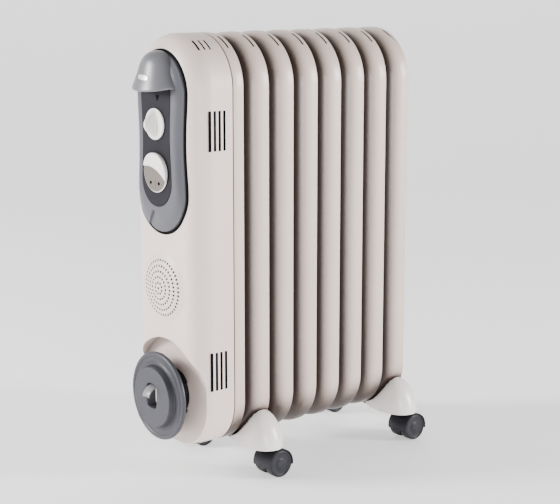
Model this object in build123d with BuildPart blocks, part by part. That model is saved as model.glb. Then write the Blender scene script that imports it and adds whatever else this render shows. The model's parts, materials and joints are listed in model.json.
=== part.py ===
from build123d import *
import os
from math import cos, radians, sin

# Oil filled radiator on castors.  X runs from the control end (-X) to the far end (+X),
# Y across the fins and Z up.  The origin is on the floor, below the middle of the overall box.
# Lengths are millimetres.  at(x) turns a distance behind the housing's front face into a model X.

# ---------------------------------------------------------------- driving dimensions
HEIGHT = 650.0                  # floor to the top of the fins
DEPTH = 160.0                   # fins and housing across Y
BOTTOM_Z = 48.0                 # underside of the fins
TOP_R = 76.0                    # shoulder radius of the end outline
BOTTOM_R = 70.0                 # lower corner radius of the end outline
FRONT_X = -194.7                # housing front face

FIN_COUNT = 8
FIN_PITCH = 46.0
FIRST_EDGE = 86.0               # free edge of the first fin's rim, behind the front face
RIM_WIDTH = 36.0                # plate to free edge
RIM_R = 26.0                    # bend between plate and rim
SHEET = 0.8                     # fin steel
HEM = 4.0                       # return at the rim's free edge
SLOT_BACK = 8.5                 # shoulder slot, ahead of the free edge
SLOT_WIDTH = 3.0
FIN_SLOT_SPAN = (20, 42.5)      # degrees from the top
FIRST_RIM_R = 14.0              # bend of the first fin, inside the housing

UPPER_Z = 580.0                 # oil headers
LOWER_Z = 112.0
BOSS_R = 30.0                   # pressed header boss, at the plate
BOSS_RISE = 13.0                # boss face from the middle of the plate
BOSS_TAPER = 15                 # draft of every boss, degrees
CHANNEL_TAPER = 25
COLLAR_R = 23.0
HEADER_R = 18.0                 # oil way through bosses and collars
CHANNEL_Y = 34.0                # vertical oil channels
CHANNEL_WIDTH = 26.0
CHANNEL_RISE = 8.0
SKIN = 1.2                      # steel round the oil channels
PLUG_R = 5.0                    # filler plug shank
PLUG_HEX_R = 8.0
PLUG_HEAD = 5.0
PLUG_DEPTH = 1.5

ROD_R = 4.0                     # element rods
ROD_Y = 9.0
ROD_RISE = 7.0
ROD_END_GAP = 6.0               # hairpin bend short of the last plate
FLANGE_R = 25.0
FLANGE_THICK = 4.0
TERMINAL = 7.0                  # rod ends ahead of the flange

SEAM = 65.5                     # rear edge of the housing
WALL = 2.5                      # housing wall
EDGE_R = 32.0                   # housing front edge
RECESS = 18.0                   # depth of the cord recess
RECESS_EDGE_R = 12.0
ARCH_R = 85.0
JOGGLE = 3.5                    # first fin's step under the housing edge
POST_SPOTS = ((-28.0, 606.0), (28.0, 606.0), (-12.0, 152.0), (12.0, 152.0))
POST_R = 5.0
POST_FOOT = 1.5                 # flange where a post is welded on
SCREW_R = 2.0
SCREW_HEAD_R = 4.0
SCREW_GRIP = 12.0               # thread inside a post
SCREW_PLAY = 0.1
LOUVRE_X = (26.0, 34.4, 42.7, 51.0)
LOUVRE_Z = (517.0, 171.0)
LOUVRE_HEIGHT = 55.7
LOUVRE_WIDTH = 3.6
TOP_SLOT_X = (26.5, 36.0, 45.5)
TOP_SLOT_SPAN = (28, 44)        # degrees from the top and from the bottom
LOW_SLOT_SPAN = (18, 32)
GRILLE_RINGS = ((8.0, 9), (16.0, 18), (24.0, 26), (32.0, 34), (40.0, 42))
GRILLE_HOLE_R = 1.6

SHIELD_WIDTH = 116.0            # heat shield behind the controls
SHIELD_HEIGHT = 280.0
SHIELD_Z = 388.0
SHIELD_X = 36.0
SHIELD_SHEET = 0.8

REEL_Z = 126.0                  # cord reel and arch centre
REEL_R = 65.5
REEL_FRONT = -15.5
REEL_THICK = 6.0
CLEAT_R = 37.0                  # curved cleats that the cord winds on
CLEAT_THICK = 3.0
CLEAT_REACH = 50                # degrees each way from the top and from the bottom
REEL_BOSS_R = 46.5              # raised middle of the reel disc
REEL_BOSS_RISE = 9.5
HOLE_Y = 24.0                   # plug opening in the reel disc
HOLE_Z = 36.0
HOLE_R = 5.0
HOLE_LIFT = 2.0                 # opening's centre above the disc's
REEL_EDGE_R = 2.5
REEL_BAND = (58.5, 50.5)         # radii of the shallow band on the disc's face
REEL_BAND_DEPTH = 0.8
TAB_MARGIN = 2.0                # plug tab to the opening's sides
TAB_ROOT = 12.0                 # height of the tab's foot behind the disc
TAB_THICK = 2.0
TAB_CURL_X = (-24.0, -36.5, -35.0)

GRILLE_Z = 286.5
DOME_R = 50.0                   # rim of the grille's dome
DOME_RISE = 10.0
DOME_BALL_R = (DOME_R ** 2 + DOME_RISE ** 2) / (2 * DOME_RISE)

PANEL_R = 60.0                  # radius of both ends of the control panel
PANEL_TOP_Z = 569.0             # centre of its upper end
PANEL_LOW_Z = 425.0             # centre of its lower end
PANEL_WAIST = 57.0              # half width between them
GASKET = 3.0
PLATEAU_X = -8.5                # raised middle of the panel
PLATEAU_INSET = 24.0
FASCIA_X = -10.0
PANEL_FOOT_X = -2.0             # where the panel's flank starts
PANEL_DEPTH = 14.0              # how far its block runs back into the housing's round edge
PANEL_WALL = 2.5
HOOD_Z = 573.0                  # lower rim of the hood
HOOD_AXES = (35.0, 45.0, 52.0)
HOOD_WALL = 3.0
HOOD_CENTRE_X = -2.0
BADGE_SPOT = (6.0, 586.0)
BADGE_SIZE = (12.0, 5.0)
BADGE_PROUD = 0.6

SELECTOR_Z = 524.0
SELECTOR_R = 22.5
THERMOSTAT_Z = 455.0
THERMOSTAT_R = 28.5
KNOB_GAP = 0.4                  # knob skirt to fascia
KNOB_BACK = FASCIA_X - KNOB_GAP
SKIRT = 3.6                     # depth of both knob skirts
KNOB_EDGE_R = 1.4
GRIP_FRONT = -29.0              # front of the selector's finger grip
GRIP_WIDTH = 13.0
GRIP_MARGIN = 3.0
GRIP_BORE = 12.0
GRIP_TAPER = 8                  # degrees
CRESCENT_TAPER = 10
CRESCENT_MARGIN = 2.0
CRESCENT_FRONT = -17.5          # front of the thermostat's raised half
LEDGE_SPOT = (18.0, -54.0)      # centre and radius of the sunken round, from the dial's centre
LEDGE_R = 62.0
DIMPLE_SPOT = (10.0, -15.0)
DIMPLE_R = 2.4
DIMPLE_DEPTH = 1.6
DIAL_BORE = 2.4
SPINDLE_R = 3.0
SPINDLE_TIP = 18.0              # rear end of both spindles
SPINDLE_PLAY = 1.5              # clearance of the spindle holes
RUNNING = 0.05                  # radial clearance of a running fit
BODY_FRONT = WALL               # switch and thermostat sit on the inside of the housing's wall
BODY_REAR = 30.0
SELECTOR_BODY = (34.0, 30.0)    # width and height of the switch case
THERMOSTAT_BODY = (44.0, 38.0)
BODY_EDGE_R = 3.0
BLADE = (0.8, 6.0, 5.0)         # terminal blade: thickness, width and length
CUTOUT_SPOT = (30.0, 330.0)
CUTOUT_R = 8.0
CUTOUT_DEPTH = 6.0
CUTOUT_BLADE_Y = 5.0
BLOCK_Z = 385.0                 # terminal block
BLOCK_SIZE = (42.0, 18.0)
BLOCK_DEPTH = 16.0
BLOCK_EDGE_R = 2.0
BLOCK_PITCH = 12.0
BLOCK_WAY_R = 2.2
BLOCK_WAY_DEPTH = 9.0

FOOT_X = (118.0, 395.0)         # foot centres behind the front face
BAR_THICK = 4.0
BAR_WIDTH = 30.0
BAR_LENGTH = 204.0
BAR_CORNER_R = 6.0
BAR_PLAY = 0.4                  # cover to bar
BOLT_R = 4.0                    # foot bolt shank
BOLT_HEAD_R = 6.0
BOLT_HEAD = 4.0
BOLT_OFFSET = 5.5               # bolt behind the foot's centre, under the flat of the rim
BOLT_STAND = 1.0                # washer under the head
BOLT_END = 2.0                  # thread below the nut
NUT_R = 8.0
NUT_HEIGHT = 7.0
WING = (34.0, 4.0)
FOOT_HALF_X = 28.5
FOOT_Y = 74.0                   # where the dome's round end starts
FOOT_REACH = 40.0
FOOT_RISE = 54.0
TAIL_Y = 24.0
FOOT_WALL = 2.5
FOOT_GAP = 0.4                  # cover to fins

WHEEL_R = 20.5
WHEEL_IN = 5.6                  # inner and outer face of each twin wheel
WHEEL_OUT = 19.4
HOOD_R = 22.5                   # castor hood
HOOD_IN_R = 21.3
CASTOR_HALF = 20.0
CASTOR_Y = 94.0
TRAIL = 9.0
STEM_R = 3.5
STEM_Z = 28.0                   # lower end of the stem
STEM_BOSS = 1.6
AXLE_R = 2.5
AXLE_SHORT = 1.5                # axle end inside the wheel's face
BODY_GAP = 0.6                  # castor body to socket
HOOD_LIP = 4.0                  # hood ends this far below the axle
WEB_LIP = 7.0                   # web ends this far below the axle
WEB_PLAY = 0.5                  # wheel to web
BOSS_ROOT = 7.0                 # stem boss inside the hood
SOCKET_R = 7.0
SOCKET_TOP = 72.0
SOCKET_FLANGE = (3.0, 2.0)      # width and thickness
TYRE_EDGE_R = 1.5
TYRE_WALL = 3.0

GLAND_X = 43.0
GLAND_R = 3.75
GLAND_WALL = 4.0
GLAND_FLANGE = (6.0, 3.0)       # width beyond the bore, and thickness
GLAND_SKIRT = 3.0               # below the housing
GLAND_SLEEVE = (3.0, 10.0)      # wall and length inside the housing

BAR_Z = BOTTOM_Z - BAR_THICK    # underside of the foot bars


def at(distance):
    return FRONT_X + distance


def plate_mid(number):
    """Middle of a fin's plate, behind the front face."""
    return FIRST_EDGE + FIN_PITCH * (number - 1) - RIM_WIDTH + SHEET / 2


def across(distance):
    """A plane that faces along X, with Y to its right and Z up."""
    return Plane.YZ.offset(at(distance))


def save(piece, label):
    piece.label = label
    export_step(piece, "parts/" + label + ".step")


def outline_face(inset=0.0):
    """End outline shared by the fins and the housing."""
    with BuildSketch() as face:
        with Locations((0, (HEIGHT + BOTTOM_Z) / 2)):
            Rectangle(DEPTH - 2 * inset, HEIGHT - BOTTOM_Z - 2 * inset)
        fillet(face.vertices().group_by(Axis.Y)[-1], TOP_R - inset)
        fillet(face.vertices().group_by(Axis.Y)[0], BOTTOM_R - inset)
    return face.sketch


def panel_face(inset):
    """Waisted outline of the control panel, with two round ends."""
    end_r = PANEL_R - inset
    waist = PANEL_WAIST - inset
    middle = (PANEL_TOP_Z + PANEL_LOW_Z) / 2
    with BuildSketch() as face:
        with BuildLine():
            CenterArc((0, PANEL_TOP_Z), end_r, 0, 180)
            ThreePointArc((-end_r, PANEL_TOP_Z), (-waist, middle), (-end_r, PANEL_LOW_Z))
            CenterArc((0, PANEL_LOW_Z), end_r, 180, 180)
            ThreePointArc((end_r, PANEL_LOW_Z), (waist, middle), (end_r, PANEL_TOP_Z))
        make_face()
    return face.sketch


def corner_slots(start, end, bottom=False):
    """A pair of slots round the shoulders, start and end in degrees from the top or bottom."""
    radius = BOTTOM_R if bottom else TOP_R
    centre_z = BOTTOM_Z + radius if bottom else HEIGHT - radius
    centre_y = DEPTH / 2 - radius
    middle = radians((start + end) / 2)
    depth_in = radius - 5
    depth_out = radius + 2
    turn = -1 if bottom else 1

    def spot(radial, angle):
        return (centre_y + radial * sin(angle), centre_z + turn * radial * cos(angle))

    first = radians(start)
    last = radians(end)
    with BuildSketch() as slots:
        with BuildLine():
            ThreePointArc(spot(depth_in, first), spot(depth_in, middle), spot(depth_in, last))
            Line(spot(depth_in, last), spot(depth_out, last))
            ThreePointArc(spot(depth_out, last), spot(depth_out, middle), spot(depth_out, first))
            Line(spot(depth_out, first), spot(depth_in, first))
        make_face()
        mirror(about=Plane.YZ)
    return slots.sketch


OUTLINE = outline_face()
HEM_HOLE = outline_face(HEM)
FIN_SLOTS = corner_slots(*FIN_SLOT_SPAN)


# ---------------------------------------------------------------- oil fins
def make_fin(number):
    """Pressed steel fin: a dished plate whose rim bends back, with the oil channels on it."""
    edge = FIRST_EDGE + FIN_PITCH * (number - 1)
    plate = edge - RIM_WIDTH
    middle = plate_mid(number)
    with BuildPart() as fin:
        if number == 1:
            # the first rim steps inwards where the housing laps over it
            with BuildSketch(across(plate)):
                add(outline_face(JOGGLE))
            extrude(amount=SEAM - plate + 1)
            fillet(fin.faces().sort_by(Axis.X)[0].edges(), FIRST_RIM_R)
            with BuildSketch(across(SEAM + 0.5)):
                add(OUTLINE)
            extrude(amount=edge - SEAM - 0.5)
        else:
            with BuildSketch(across(plate)):
                add(OUTLINE)
            extrude(amount=RIM_WIDTH)
            fillet(fin.faces().sort_by(Axis.X)[0].edges(), RIM_R)
        offset(amount=-SHEET, openings=fin.faces().sort_by(Axis.X)[-1])
        with BuildSketch(across(edge - SHEET)):
            add(outline_face(SHEET / 2))
            add(HEM_HOLE, mode=Mode.SUBTRACT)
        extrude(amount=SHEET)

        channel_height = UPPER_Z - LOWER_Z
        channel_centre = (UPPER_Z + LOWER_Z) / 2
        for direction in (1, -1):
            with BuildSketch(across(middle)):
                with Locations((-CHANNEL_Y, channel_centre), (CHANNEL_Y, channel_centre)):
                    SlotOverall(channel_height, CHANNEL_WIDTH, rotation=90)
            extrude(amount=direction * CHANNEL_RISE, taper=CHANNEL_TAPER)
            with BuildSketch(across(middle)):
                for z in (UPPER_Z, LOWER_Z):
                    with Locations((0, z)):
                        SlotOverall(2 * CHANNEL_Y + CHANNEL_WIDTH, CHANNEL_WIDTH)
            extrude(amount=direction * CHANNEL_RISE, taper=CHANNEL_TAPER)
            with BuildSketch(across(middle)):
                with Locations((0, UPPER_Z), (0, LOWER_Z)):
                    Circle(BOSS_R)
            extrude(amount=direction * BOSS_RISE, taper=BOSS_TAPER)

        # the oil space follows the pressings, one wall thickness in
        for direction in (1, -1):
            with BuildSketch(across(middle)):
                with Locations((-CHANNEL_Y, channel_centre), (CHANNEL_Y, channel_centre)):
                    SlotOverall(channel_height - 2 * SKIN, CHANNEL_WIDTH - 2 * SKIN, rotation=90)
                for z in (UPPER_Z, LOWER_Z):
                    with Locations((0, z)):
                        SlotOverall(2 * CHANNEL_Y + CHANNEL_WIDTH - 2 * SKIN, CHANNEL_WIDTH - 2 * SKIN)
            extrude(amount=direction * (CHANNEL_RISE - SKIN), taper=CHANNEL_TAPER, mode=Mode.SUBTRACT)
            with BuildSketch(across(middle)):
                with Locations((0, UPPER_Z), (0, LOWER_Z)):
                    Circle(BOSS_R - SKIN)
            extrude(amount=direction * (BOSS_RISE - SKIN), taper=BOSS_TAPER, mode=Mode.SUBTRACT)
        if number > 1:
            with BuildSketch(across(middle - BOSS_RISE)):
                with Locations((0, UPPER_Z), (0, LOWER_Z)):
                    Circle(HEADER_R)
            extrude(amount=BOSS_RISE, mode=Mode.SUBTRACT)
        else:
            with BuildSketch(across(middle - BOSS_RISE)):
                with Locations((0, LOWER_Z)):
                    Circle(HEADER_R)
                with Locations((0, UPPER_Z)):
                    Circle(PLUG_R)
            extrude(amount=BOSS_RISE, mode=Mode.SUBTRACT)
        if number < FIN_COUNT:
            with BuildSketch(across(middle)):
                with Locations((0, UPPER_Z), (0, LOWER_Z)):
                    Circle(HEADER_R)
            extrude(amount=BOSS_RISE, mode=Mode.SUBTRACT)

        # shoulder slots in the rim, and the foot bolt's hole
        with BuildSketch(across(edge - SLOT_BACK - SLOT_WIDTH / 2)):
            add(FIN_SLOTS)
        extrude(amount=SLOT_WIDTH, mode=Mode.SUBTRACT)
        for foot in FOOT_X:
            if plate < foot < edge:
                with BuildSketch(Plane.XY.offset(BOTTOM_Z - 1)):
                    with Locations((at(foot + BOLT_OFFSET), 0)):
                        Circle(BOLT_R)
                extrude(amount=6, mode=Mode.SUBTRACT)
    return fin.part


def make_collars():
    """Rings that join the headers of neighbouring fins."""
    length = FIN_PITCH - 2 * BOSS_RISE
    with BuildPart() as collars:
        for number in range(1, FIN_COUNT):
            with BuildSketch(across(plate_mid(number) + BOSS_RISE)):
                with Locations((0, UPPER_Z), (0, LOWER_Z)):
                    Circle(COLLAR_R)
                    Circle(HEADER_R, mode=Mode.SUBTRACT)
            extrude(amount=length)
    return collars.part


# ---------------------------------------------------------------- heating element
def make_element():
    """Two hairpin rods along the lower header."""
    start = at(plate_mid(1) - BOSS_RISE - FLANGE_THICK - TERMINAL)
    end = at(plate_mid(FIN_COUNT) - ROD_END_GAP)
    with BuildPart() as element:
        for rise in (-ROD_RISE, ROD_RISE):
            with BuildLine(Plane.XY.offset(LOWER_Z + rise)) as hairpin:
                Line((start, ROD_Y), (end, ROD_Y))
                ThreePointArc((end, ROD_Y), (end + ROD_Y, 0), (end, -ROD_Y))
                Line((end, -ROD_Y), (start, -ROD_Y))
            with BuildSketch(Plane(origin=(start, ROD_Y, LOWER_Z + rise), z_dir=(1, 0, 0))):
                Circle(ROD_R)
            sweep(path=hairpin.wires()[0])
    return element.part


def make_element_flange():
    """Screwed flange that closes the lower header round the rods."""
    with BuildPart() as flange:
        with BuildSketch(across(plate_mid(1) - BOSS_RISE - FLANGE_THICK)):
            with Locations((0, LOWER_Z)):
                Circle(FLANGE_R)
                with GridLocations(2 * ROD_Y, 2 * ROD_RISE, 2, 2):
                    Circle(ROD_R, mode=Mode.SUBTRACT)
        extrude(amount=FLANGE_THICK)
        chamfer(flange.faces().sort_by(Axis.X)[0].outer_wire().edges(), 1)
    return flange.part


def make_filler_plug():
    """Hexagon plug in the upper header, sealed after filling."""
    with BuildPart() as plug:
        with BuildSketch(across(plate_mid(1) - BOSS_RISE - PLUG_HEAD)):
            with Locations((0, UPPER_Z)):
                RegularPolygon(PLUG_HEX_R, 6)
        extrude(amount=PLUG_HEAD)
        with BuildSketch(across(plate_mid(1) - BOSS_RISE)):
            with Locations((0, UPPER_Z)):
                Circle(PLUG_R)
        extrude(amount=PLUG_DEPTH)
    return plug.part


# ---------------------------------------------------------------- housing
def housing_form(inset, rear=SEAM):
    """Solid shape of the housing: a domed end with an arched recess across its foot."""
    with BuildPart() as end:
        with BuildSketch(across(inset)):
            add(outline_face(inset))
        extrude(amount=rear - inset)
        fillet(end.faces().sort_by(Axis.X)[0].edges(), EDGE_R - inset)
    with BuildPart() as arch:
        with BuildSketch(across(-5)):
            with Locations((0, REEL_Z)):
                Circle(ARCH_R + inset)
            with Locations((0, REEL_Z / 2)):
                Rectangle(DEPTH + 20, REEL_Z)
        extrude(amount=RECESS + 5 + inset)
    with BuildPart() as back:
        with BuildSketch(across(RECESS + inset)):
            add(outline_face(inset))
        extrude(amount=rear - RECESS - inset)
        fillet(back.faces().sort_by(Axis.X)[0].edges(), RECESS_EDGE_R - inset)
    with BuildPart() as form:
        add(end.part)
        add(arch.part, mode=Mode.SUBTRACT)
        add(back.part)
    return form.part


def post_front(z):
    """Front end of a housing post, which meets the inside of the housing's wall."""
    return (0.0 if z > REEL_Z + ARCH_R else RECESS) + WALL


def dome_form(ball_r):
    """The part of a ball that stands ahead of the back of the housing's front wall."""
    with BuildPart() as dome:
        with BuildSketch(across(-DOME_RISE)):
            with Locations((0, GRILLE_Z)):
                Circle(DOME_R + WALL)
        extrude(amount=DOME_RISE + WALL)
        with Locations((at(DOME_BALL_R - DOME_RISE), 0, GRILLE_Z)):
            Sphere(ball_r, mode=Mode.INTERSECT)
    return dome.part


def make_housing(form, hollow):
    """Plastic end cover with louvres, a domed grille and the arched cord recess."""
    with BuildPart() as cover:
        add(form)
        add(hollow, mode=Mode.SUBTRACT)
        add(dome_form(DOME_BALL_R))
        add(dome_form(DOME_BALL_R - WALL), mode=Mode.SUBTRACT)
        with BuildSketch(across(-DOME_RISE - 1)):
            with Locations((0, GRILLE_Z)):
                Circle(GRILLE_HOLE_R)
                for ring_r, count in GRILLE_RINGS:
                    with PolarLocations(ring_r, count):
                        Circle(GRILLE_HOLE_R)
        extrude(amount=DOME_RISE + WALL + 2, mode=Mode.SUBTRACT)
        for z in LOUVRE_Z:
            for x in LOUVRE_X:
                with Locations((at(x), -DEPTH / 2, z), (at(x), DEPTH / 2, z)):
                    Box(LOUVRE_WIDTH, 4 * WALL, LOUVRE_HEIGHT, mode=Mode.SUBTRACT)
        for x in TOP_SLOT_X:
            with BuildSketch(across(x - SLOT_WIDTH / 2)):
                add(corner_slots(*TOP_SLOT_SPAN))
                add(corner_slots(*LOW_SLOT_SPAN, bottom=True))
            extrude(amount=SLOT_WIDTH, mode=Mode.SUBTRACT)
        with BuildSketch(across(-1)):
            with Locations((0, SELECTOR_Z), (0, THERMOSTAT_Z)):
                Circle(SPINDLE_R + SPINDLE_PLAY)
        extrude(amount=WALL + 2, mode=Mode.SUBTRACT)
        with BuildSketch(Plane.XY.offset(BOTTOM_Z - 1)):
            with Locations((at(GLAND_X), 0)):
                Circle(GLAND_R + GLAND_WALL)
        extrude(amount=WALL + 2, mode=Mode.SUBTRACT)
        for y, z in POST_SPOTS:
            front = post_front(z) - WALL
            with BuildSketch(across(front)):
                with Locations((y, z)):
                    Circle(SCREW_R + SCREW_PLAY)
            extrude(amount=WALL, mode=Mode.SUBTRACT)
            with BuildSketch(across(front)):
                with Locations((y, z)):
                    Circle(SCREW_HEAD_R)
            extrude(amount=SCREW_HEAD_R - SCREW_R, taper=45, mode=Mode.SUBTRACT)
    return cover.part


def make_posts():
    """Steel posts welded to the first fin, which the housing screws into."""
    plate = FIRST_EDGE - RIM_WIDTH
    with BuildPart() as posts:
        for y, z in POST_SPOTS:
            front = post_front(z)
            with BuildSketch(across(front)):
                with Locations((y, z)):
                    Circle(POST_R)
            extrude(amount=plate - front)
            with BuildSketch(across(plate - POST_FOOT)):
                with Locations((y, z)):
                    Circle(POST_R + 2)
            extrude(amount=POST_FOOT)
            with BuildSketch(across(front)):
                with Locations((y, z)):
                    Circle(SCREW_R)
            extrude(amount=SCREW_GRIP, mode=Mode.SUBTRACT)
    return posts.part


def make_housing_screws():
    """Countersunk screws under the control panel and inside the reel hub."""
    head = SCREW_HEAD_R - SCREW_R
    with BuildPart() as screws:
        for y, z in POST_SPOTS:
            front = post_front(z) - WALL
            with BuildSketch(across(front)):
                with Locations((y, z)):
                    Circle(SCREW_R)
            extrude(amount=WALL + SCREW_GRIP)
            with BuildSketch(across(front)):
                with Locations((y, z)):
                    Circle(SCREW_HEAD_R)
            extrude(amount=head, taper=45)
    return screws.part


def make_heat_shield():
    """Bright plate between the first fin and the controls, on two side flanges."""
    plate = FIRST_EDGE - RIM_WIDTH
    flange_y = (SHIELD_WIDTH - SHIELD_SHEET) / 2
    with BuildPart() as shield:
        with BuildSketch(across(SHIELD_X)):
            with Locations((0, SHIELD_Z)):
                Rectangle(SHIELD_WIDTH, SHIELD_HEIGHT)
        extrude(amount=SHIELD_SHEET)
        with BuildSketch(across(SHIELD_X)):
            with Locations((-flange_y, SHIELD_Z), (flange_y, SHIELD_Z)):
                Rectangle(SHIELD_SHEET, SHIELD_HEIGHT)
        extrude(amount=plate - SHIELD_X)
    return shield.part


def make_gland():
    """Bush where the mains lead enters, through the underside of the housing."""
    flange_width, flange_thick = GLAND_FLANGE
    sleeve_wall, sleeve_length = GLAND_SLEEVE
    inside = BOTTOM_Z + WALL
    tiers = (
        (BOTTOM_Z - GLAND_SKIRT, GLAND_SKIRT + WALL, GLAND_WALL),
        (inside, flange_thick, flange_width),
        (inside + flange_thick, sleeve_length, sleeve_wall),
    )
    with BuildPart() as gland:
        for low, height, wall in tiers:
            with BuildSketch(Plane.XY.offset(low)):
                with Locations((at(GLAND_X), 0)):
                    Circle(GLAND_R + wall)
                    Circle(GLAND_R, mode=Mode.SUBTRACT)
            extrude(amount=height)
    return gland.part


# ---------------------------------------------------------------- controls inside the housing
def make_control_body(z, size):
    """Switch or thermostat case with a blind bore for its spindle and blade terminals."""
    width, height = size
    blade_thick, blade_width, blade_length = BLADE
    with BuildPart() as body:
        with BuildSketch(across(BODY_FRONT)):
            with Locations((0, z)):
                RectangleRounded(width, height, BODY_EDGE_R)
        extrude(amount=BODY_REAR - BODY_FRONT)
        with BuildSketch(across(BODY_FRONT)):
            with Locations((0, z)):
                Circle(SPINDLE_R + RUNNING)
        extrude(amount=SPINDLE_TIP + 1 - BODY_FRONT, mode=Mode.SUBTRACT)
        with BuildSketch(across(BODY_REAR)):
            with Locations((0, z)):
                with GridLocations(width / 3, height / 2, 2, 2):
                    Rectangle(blade_thick, blade_width)
        extrude(amount=blade_length)
    return body.part


def make_spindle(z, tip_in_knob):
    """Control spindle from inside the knob to the switch."""
    with BuildPart() as spindle:
        with BuildSketch(across(tip_in_knob)):
            with Locations((0, z)):
                Circle(SPINDLE_R)
        extrude(amount=SPINDLE_TIP - tip_in_knob)
    return spindle.part


def make_cutout():
    """Thermal cut-out disc clipped to the heat shield."""
    blade_thick, blade_width, blade_length = BLADE
    cutout_y, cutout_z = CUTOUT_SPOT
    front = SHIELD_X - CUTOUT_DEPTH
    with BuildPart() as cutout:
        with BuildSketch(across(front)):
            with Locations(CUTOUT_SPOT):
                Circle(CUTOUT_R)
        extrude(amount=CUTOUT_DEPTH)
        with BuildSketch(across(front - blade_length)):
            for side in (-CUTOUT_BLADE_Y, CUTOUT_BLADE_Y):
                with Locations((cutout_y + side, cutout_z)):
                    Rectangle(blade_thick, blade_width)
        extrude(amount=blade_length)
    return cutout.part


def make_terminal_block():
    """Mains terminal block on the heat shield, with its three screw ways."""
    front = SHIELD_X - BLOCK_DEPTH
    with BuildPart() as block:
        with BuildSketch(across(front)):
            with Locations((0, BLOCK_Z)):
                RectangleRounded(*BLOCK_SIZE, BLOCK_EDGE_R)
        extrude(amount=BLOCK_DEPTH)
        with BuildSketch(across(front)):
            with Locations((0, BLOCK_Z)):
                with GridLocations(BLOCK_PITCH, 0, 3, 1):
                    Circle(BLOCK_WAY_R)
        extrude(amount=BLOCK_WAY_DEPTH, mode=Mode.SUBTRACT)
    return block.part


# ---------------------------------------------------------------- control panel
def panel_form(inset, rear):
    """Waisted block that narrows to the plateau in front; inset draws the inner surface."""
    with BuildPart() as form:
        with BuildSketch(across(PANEL_FOOT_X + inset)):
            add(panel_face(GASKET + inset))
        extrude(amount=rear - PANEL_FOOT_X - inset)
        with BuildSketch(across(PANEL_FOOT_X + inset)):
            add(panel_face(GASKET + inset))
        with BuildSketch(across(PLATEAU_X + inset)):
            add(panel_face(PLATEAU_INSET + inset))
        loft()
    return form.part


def make_panel(housing_solid):
    """Moulded control surround that sits on the housing."""
    solid = panel_form(0, PANEL_DEPTH)
    hollow = panel_form(PANEL_WALL, PANEL_DEPTH + 2)
    with BuildPart() as panel:
        add(solid)
        add(hollow, mode=Mode.SUBTRACT)
        add(housing_solid, mode=Mode.SUBTRACT)
        with BuildSketch(across(PLATEAU_X - 1)):
            with Locations((0, SELECTOR_Z), (0, THERMOSTAT_Z)):
                Circle(SPINDLE_R + SPINDLE_PLAY)
        extrude(amount=5, mode=Mode.SUBTRACT)
    return panel.part


def make_fascia():
    """Darker insert on the plateau, round both knobs."""
    with BuildPart() as fascia:
        with BuildSketch(across(FASCIA_X)):
            add(panel_face(PLATEAU_INSET + 1))
            with Locations((0, SELECTOR_Z), (0, THERMOSTAT_Z)):
                Circle(SPINDLE_R + SPINDLE_PLAY, mode=Mode.SUBTRACT)
        extrude(amount=PLATEAU_X - FASCIA_X)
    return fascia.part


def make_gasket(housing_solid):
    """Black sealing strip between the panel's edge and the housing."""
    with BuildPart() as gasket:
        with BuildSketch(across(-1)):
            add(panel_face(0))
            add(panel_face(GASKET), mode=Mode.SUBTRACT)
        extrude(amount=15)
        add(housing_solid, mode=Mode.SUBTRACT)
    return gasket.part


def ellipsoid(centre, axes):
    """Ball stretched to three half axes."""
    with BuildPart() as ball:
        Sphere(1)
        scale(by=axes)
    return ball.part.moved(Location(centre))


def make_hood(housing_solid):
    """Grip hood over the panel's upper end: a quarter shell, open underneath."""
    centre = (at(HOOD_CENTRE_X), 0, HOOD_Z)
    outer = ellipsoid(centre, HOOD_AXES)
    inner = ellipsoid(centre, tuple(axis - HOOD_WALL for axis in HOOD_AXES))
    panel = panel_form(0, PANEL_DEPTH)
    with BuildPart() as hood:
        add(outer)
        split(bisect_by=Plane.XY.offset(HOOD_Z), keep=Keep.TOP)
        split(bisect_by=across(0), keep=Keep.BOTTOM)
        add(inner, mode=Mode.SUBTRACT)
        add(panel, mode=Mode.SUBTRACT)
        add(housing_solid, mode=Mode.SUBTRACT)
        with BuildSketch(across(FASCIA_X)):
            add(panel_face(PLATEAU_INSET + 1))
        extrude(amount=PLATEAU_X - FASCIA_X, mode=Mode.SUBTRACT)
    return hood.part


def make_badge():
    """Blank oval plate on the hood."""
    centre = (at(HOOD_CENTRE_X), 0, HOOD_Z)
    hood = ellipsoid(centre, HOOD_AXES)
    proud = ellipsoid(centre, tuple(axis + BADGE_PROUD for axis in HOOD_AXES))
    with BuildPart() as badge:
        with BuildSketch(across(-HOOD_AXES[0] - 5)):
            with Locations(BADGE_SPOT):
                Ellipse(*BADGE_SIZE)
        extrude(amount=HOOD_AXES[0] - 10)
        add(proud, mode=Mode.INTERSECT)
        add(hood, mode=Mode.SUBTRACT)
    return badge.part


# ---------------------------------------------------------------- knobs
def make_selector_knob():
    """Round knob with an upright finger grip."""
    with BuildPart() as knob:
        with BuildSketch(across(KNOB_BACK - SKIRT)):
            with Locations((0, SELECTOR_Z)):
                Circle(SELECTOR_R)
        extrude(amount=SKIRT)
        fillet(knob.faces().sort_by(Axis.X)[0].edges(), KNOB_EDGE_R)
        with BuildSketch(across(KNOB_BACK - SKIRT)):
            with Locations((0, SELECTOR_Z)):
                SlotOverall(2 * (SELECTOR_R - GRIP_MARGIN), GRIP_WIDTH, rotation=90)
        extrude(amount=GRIP_FRONT - KNOB_BACK + SKIRT, taper=GRIP_TAPER)
        fillet(knob.faces().sort_by(Axis.X)[0].edges(), KNOB_EDGE_R)
        with BuildSketch(across(KNOB_BACK)):
            with Locations((0, SELECTOR_Z)):
                Circle(SPINDLE_R)
        extrude(amount=-GRIP_BORE, mode=Mode.SUBTRACT)
    return knob.part


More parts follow.
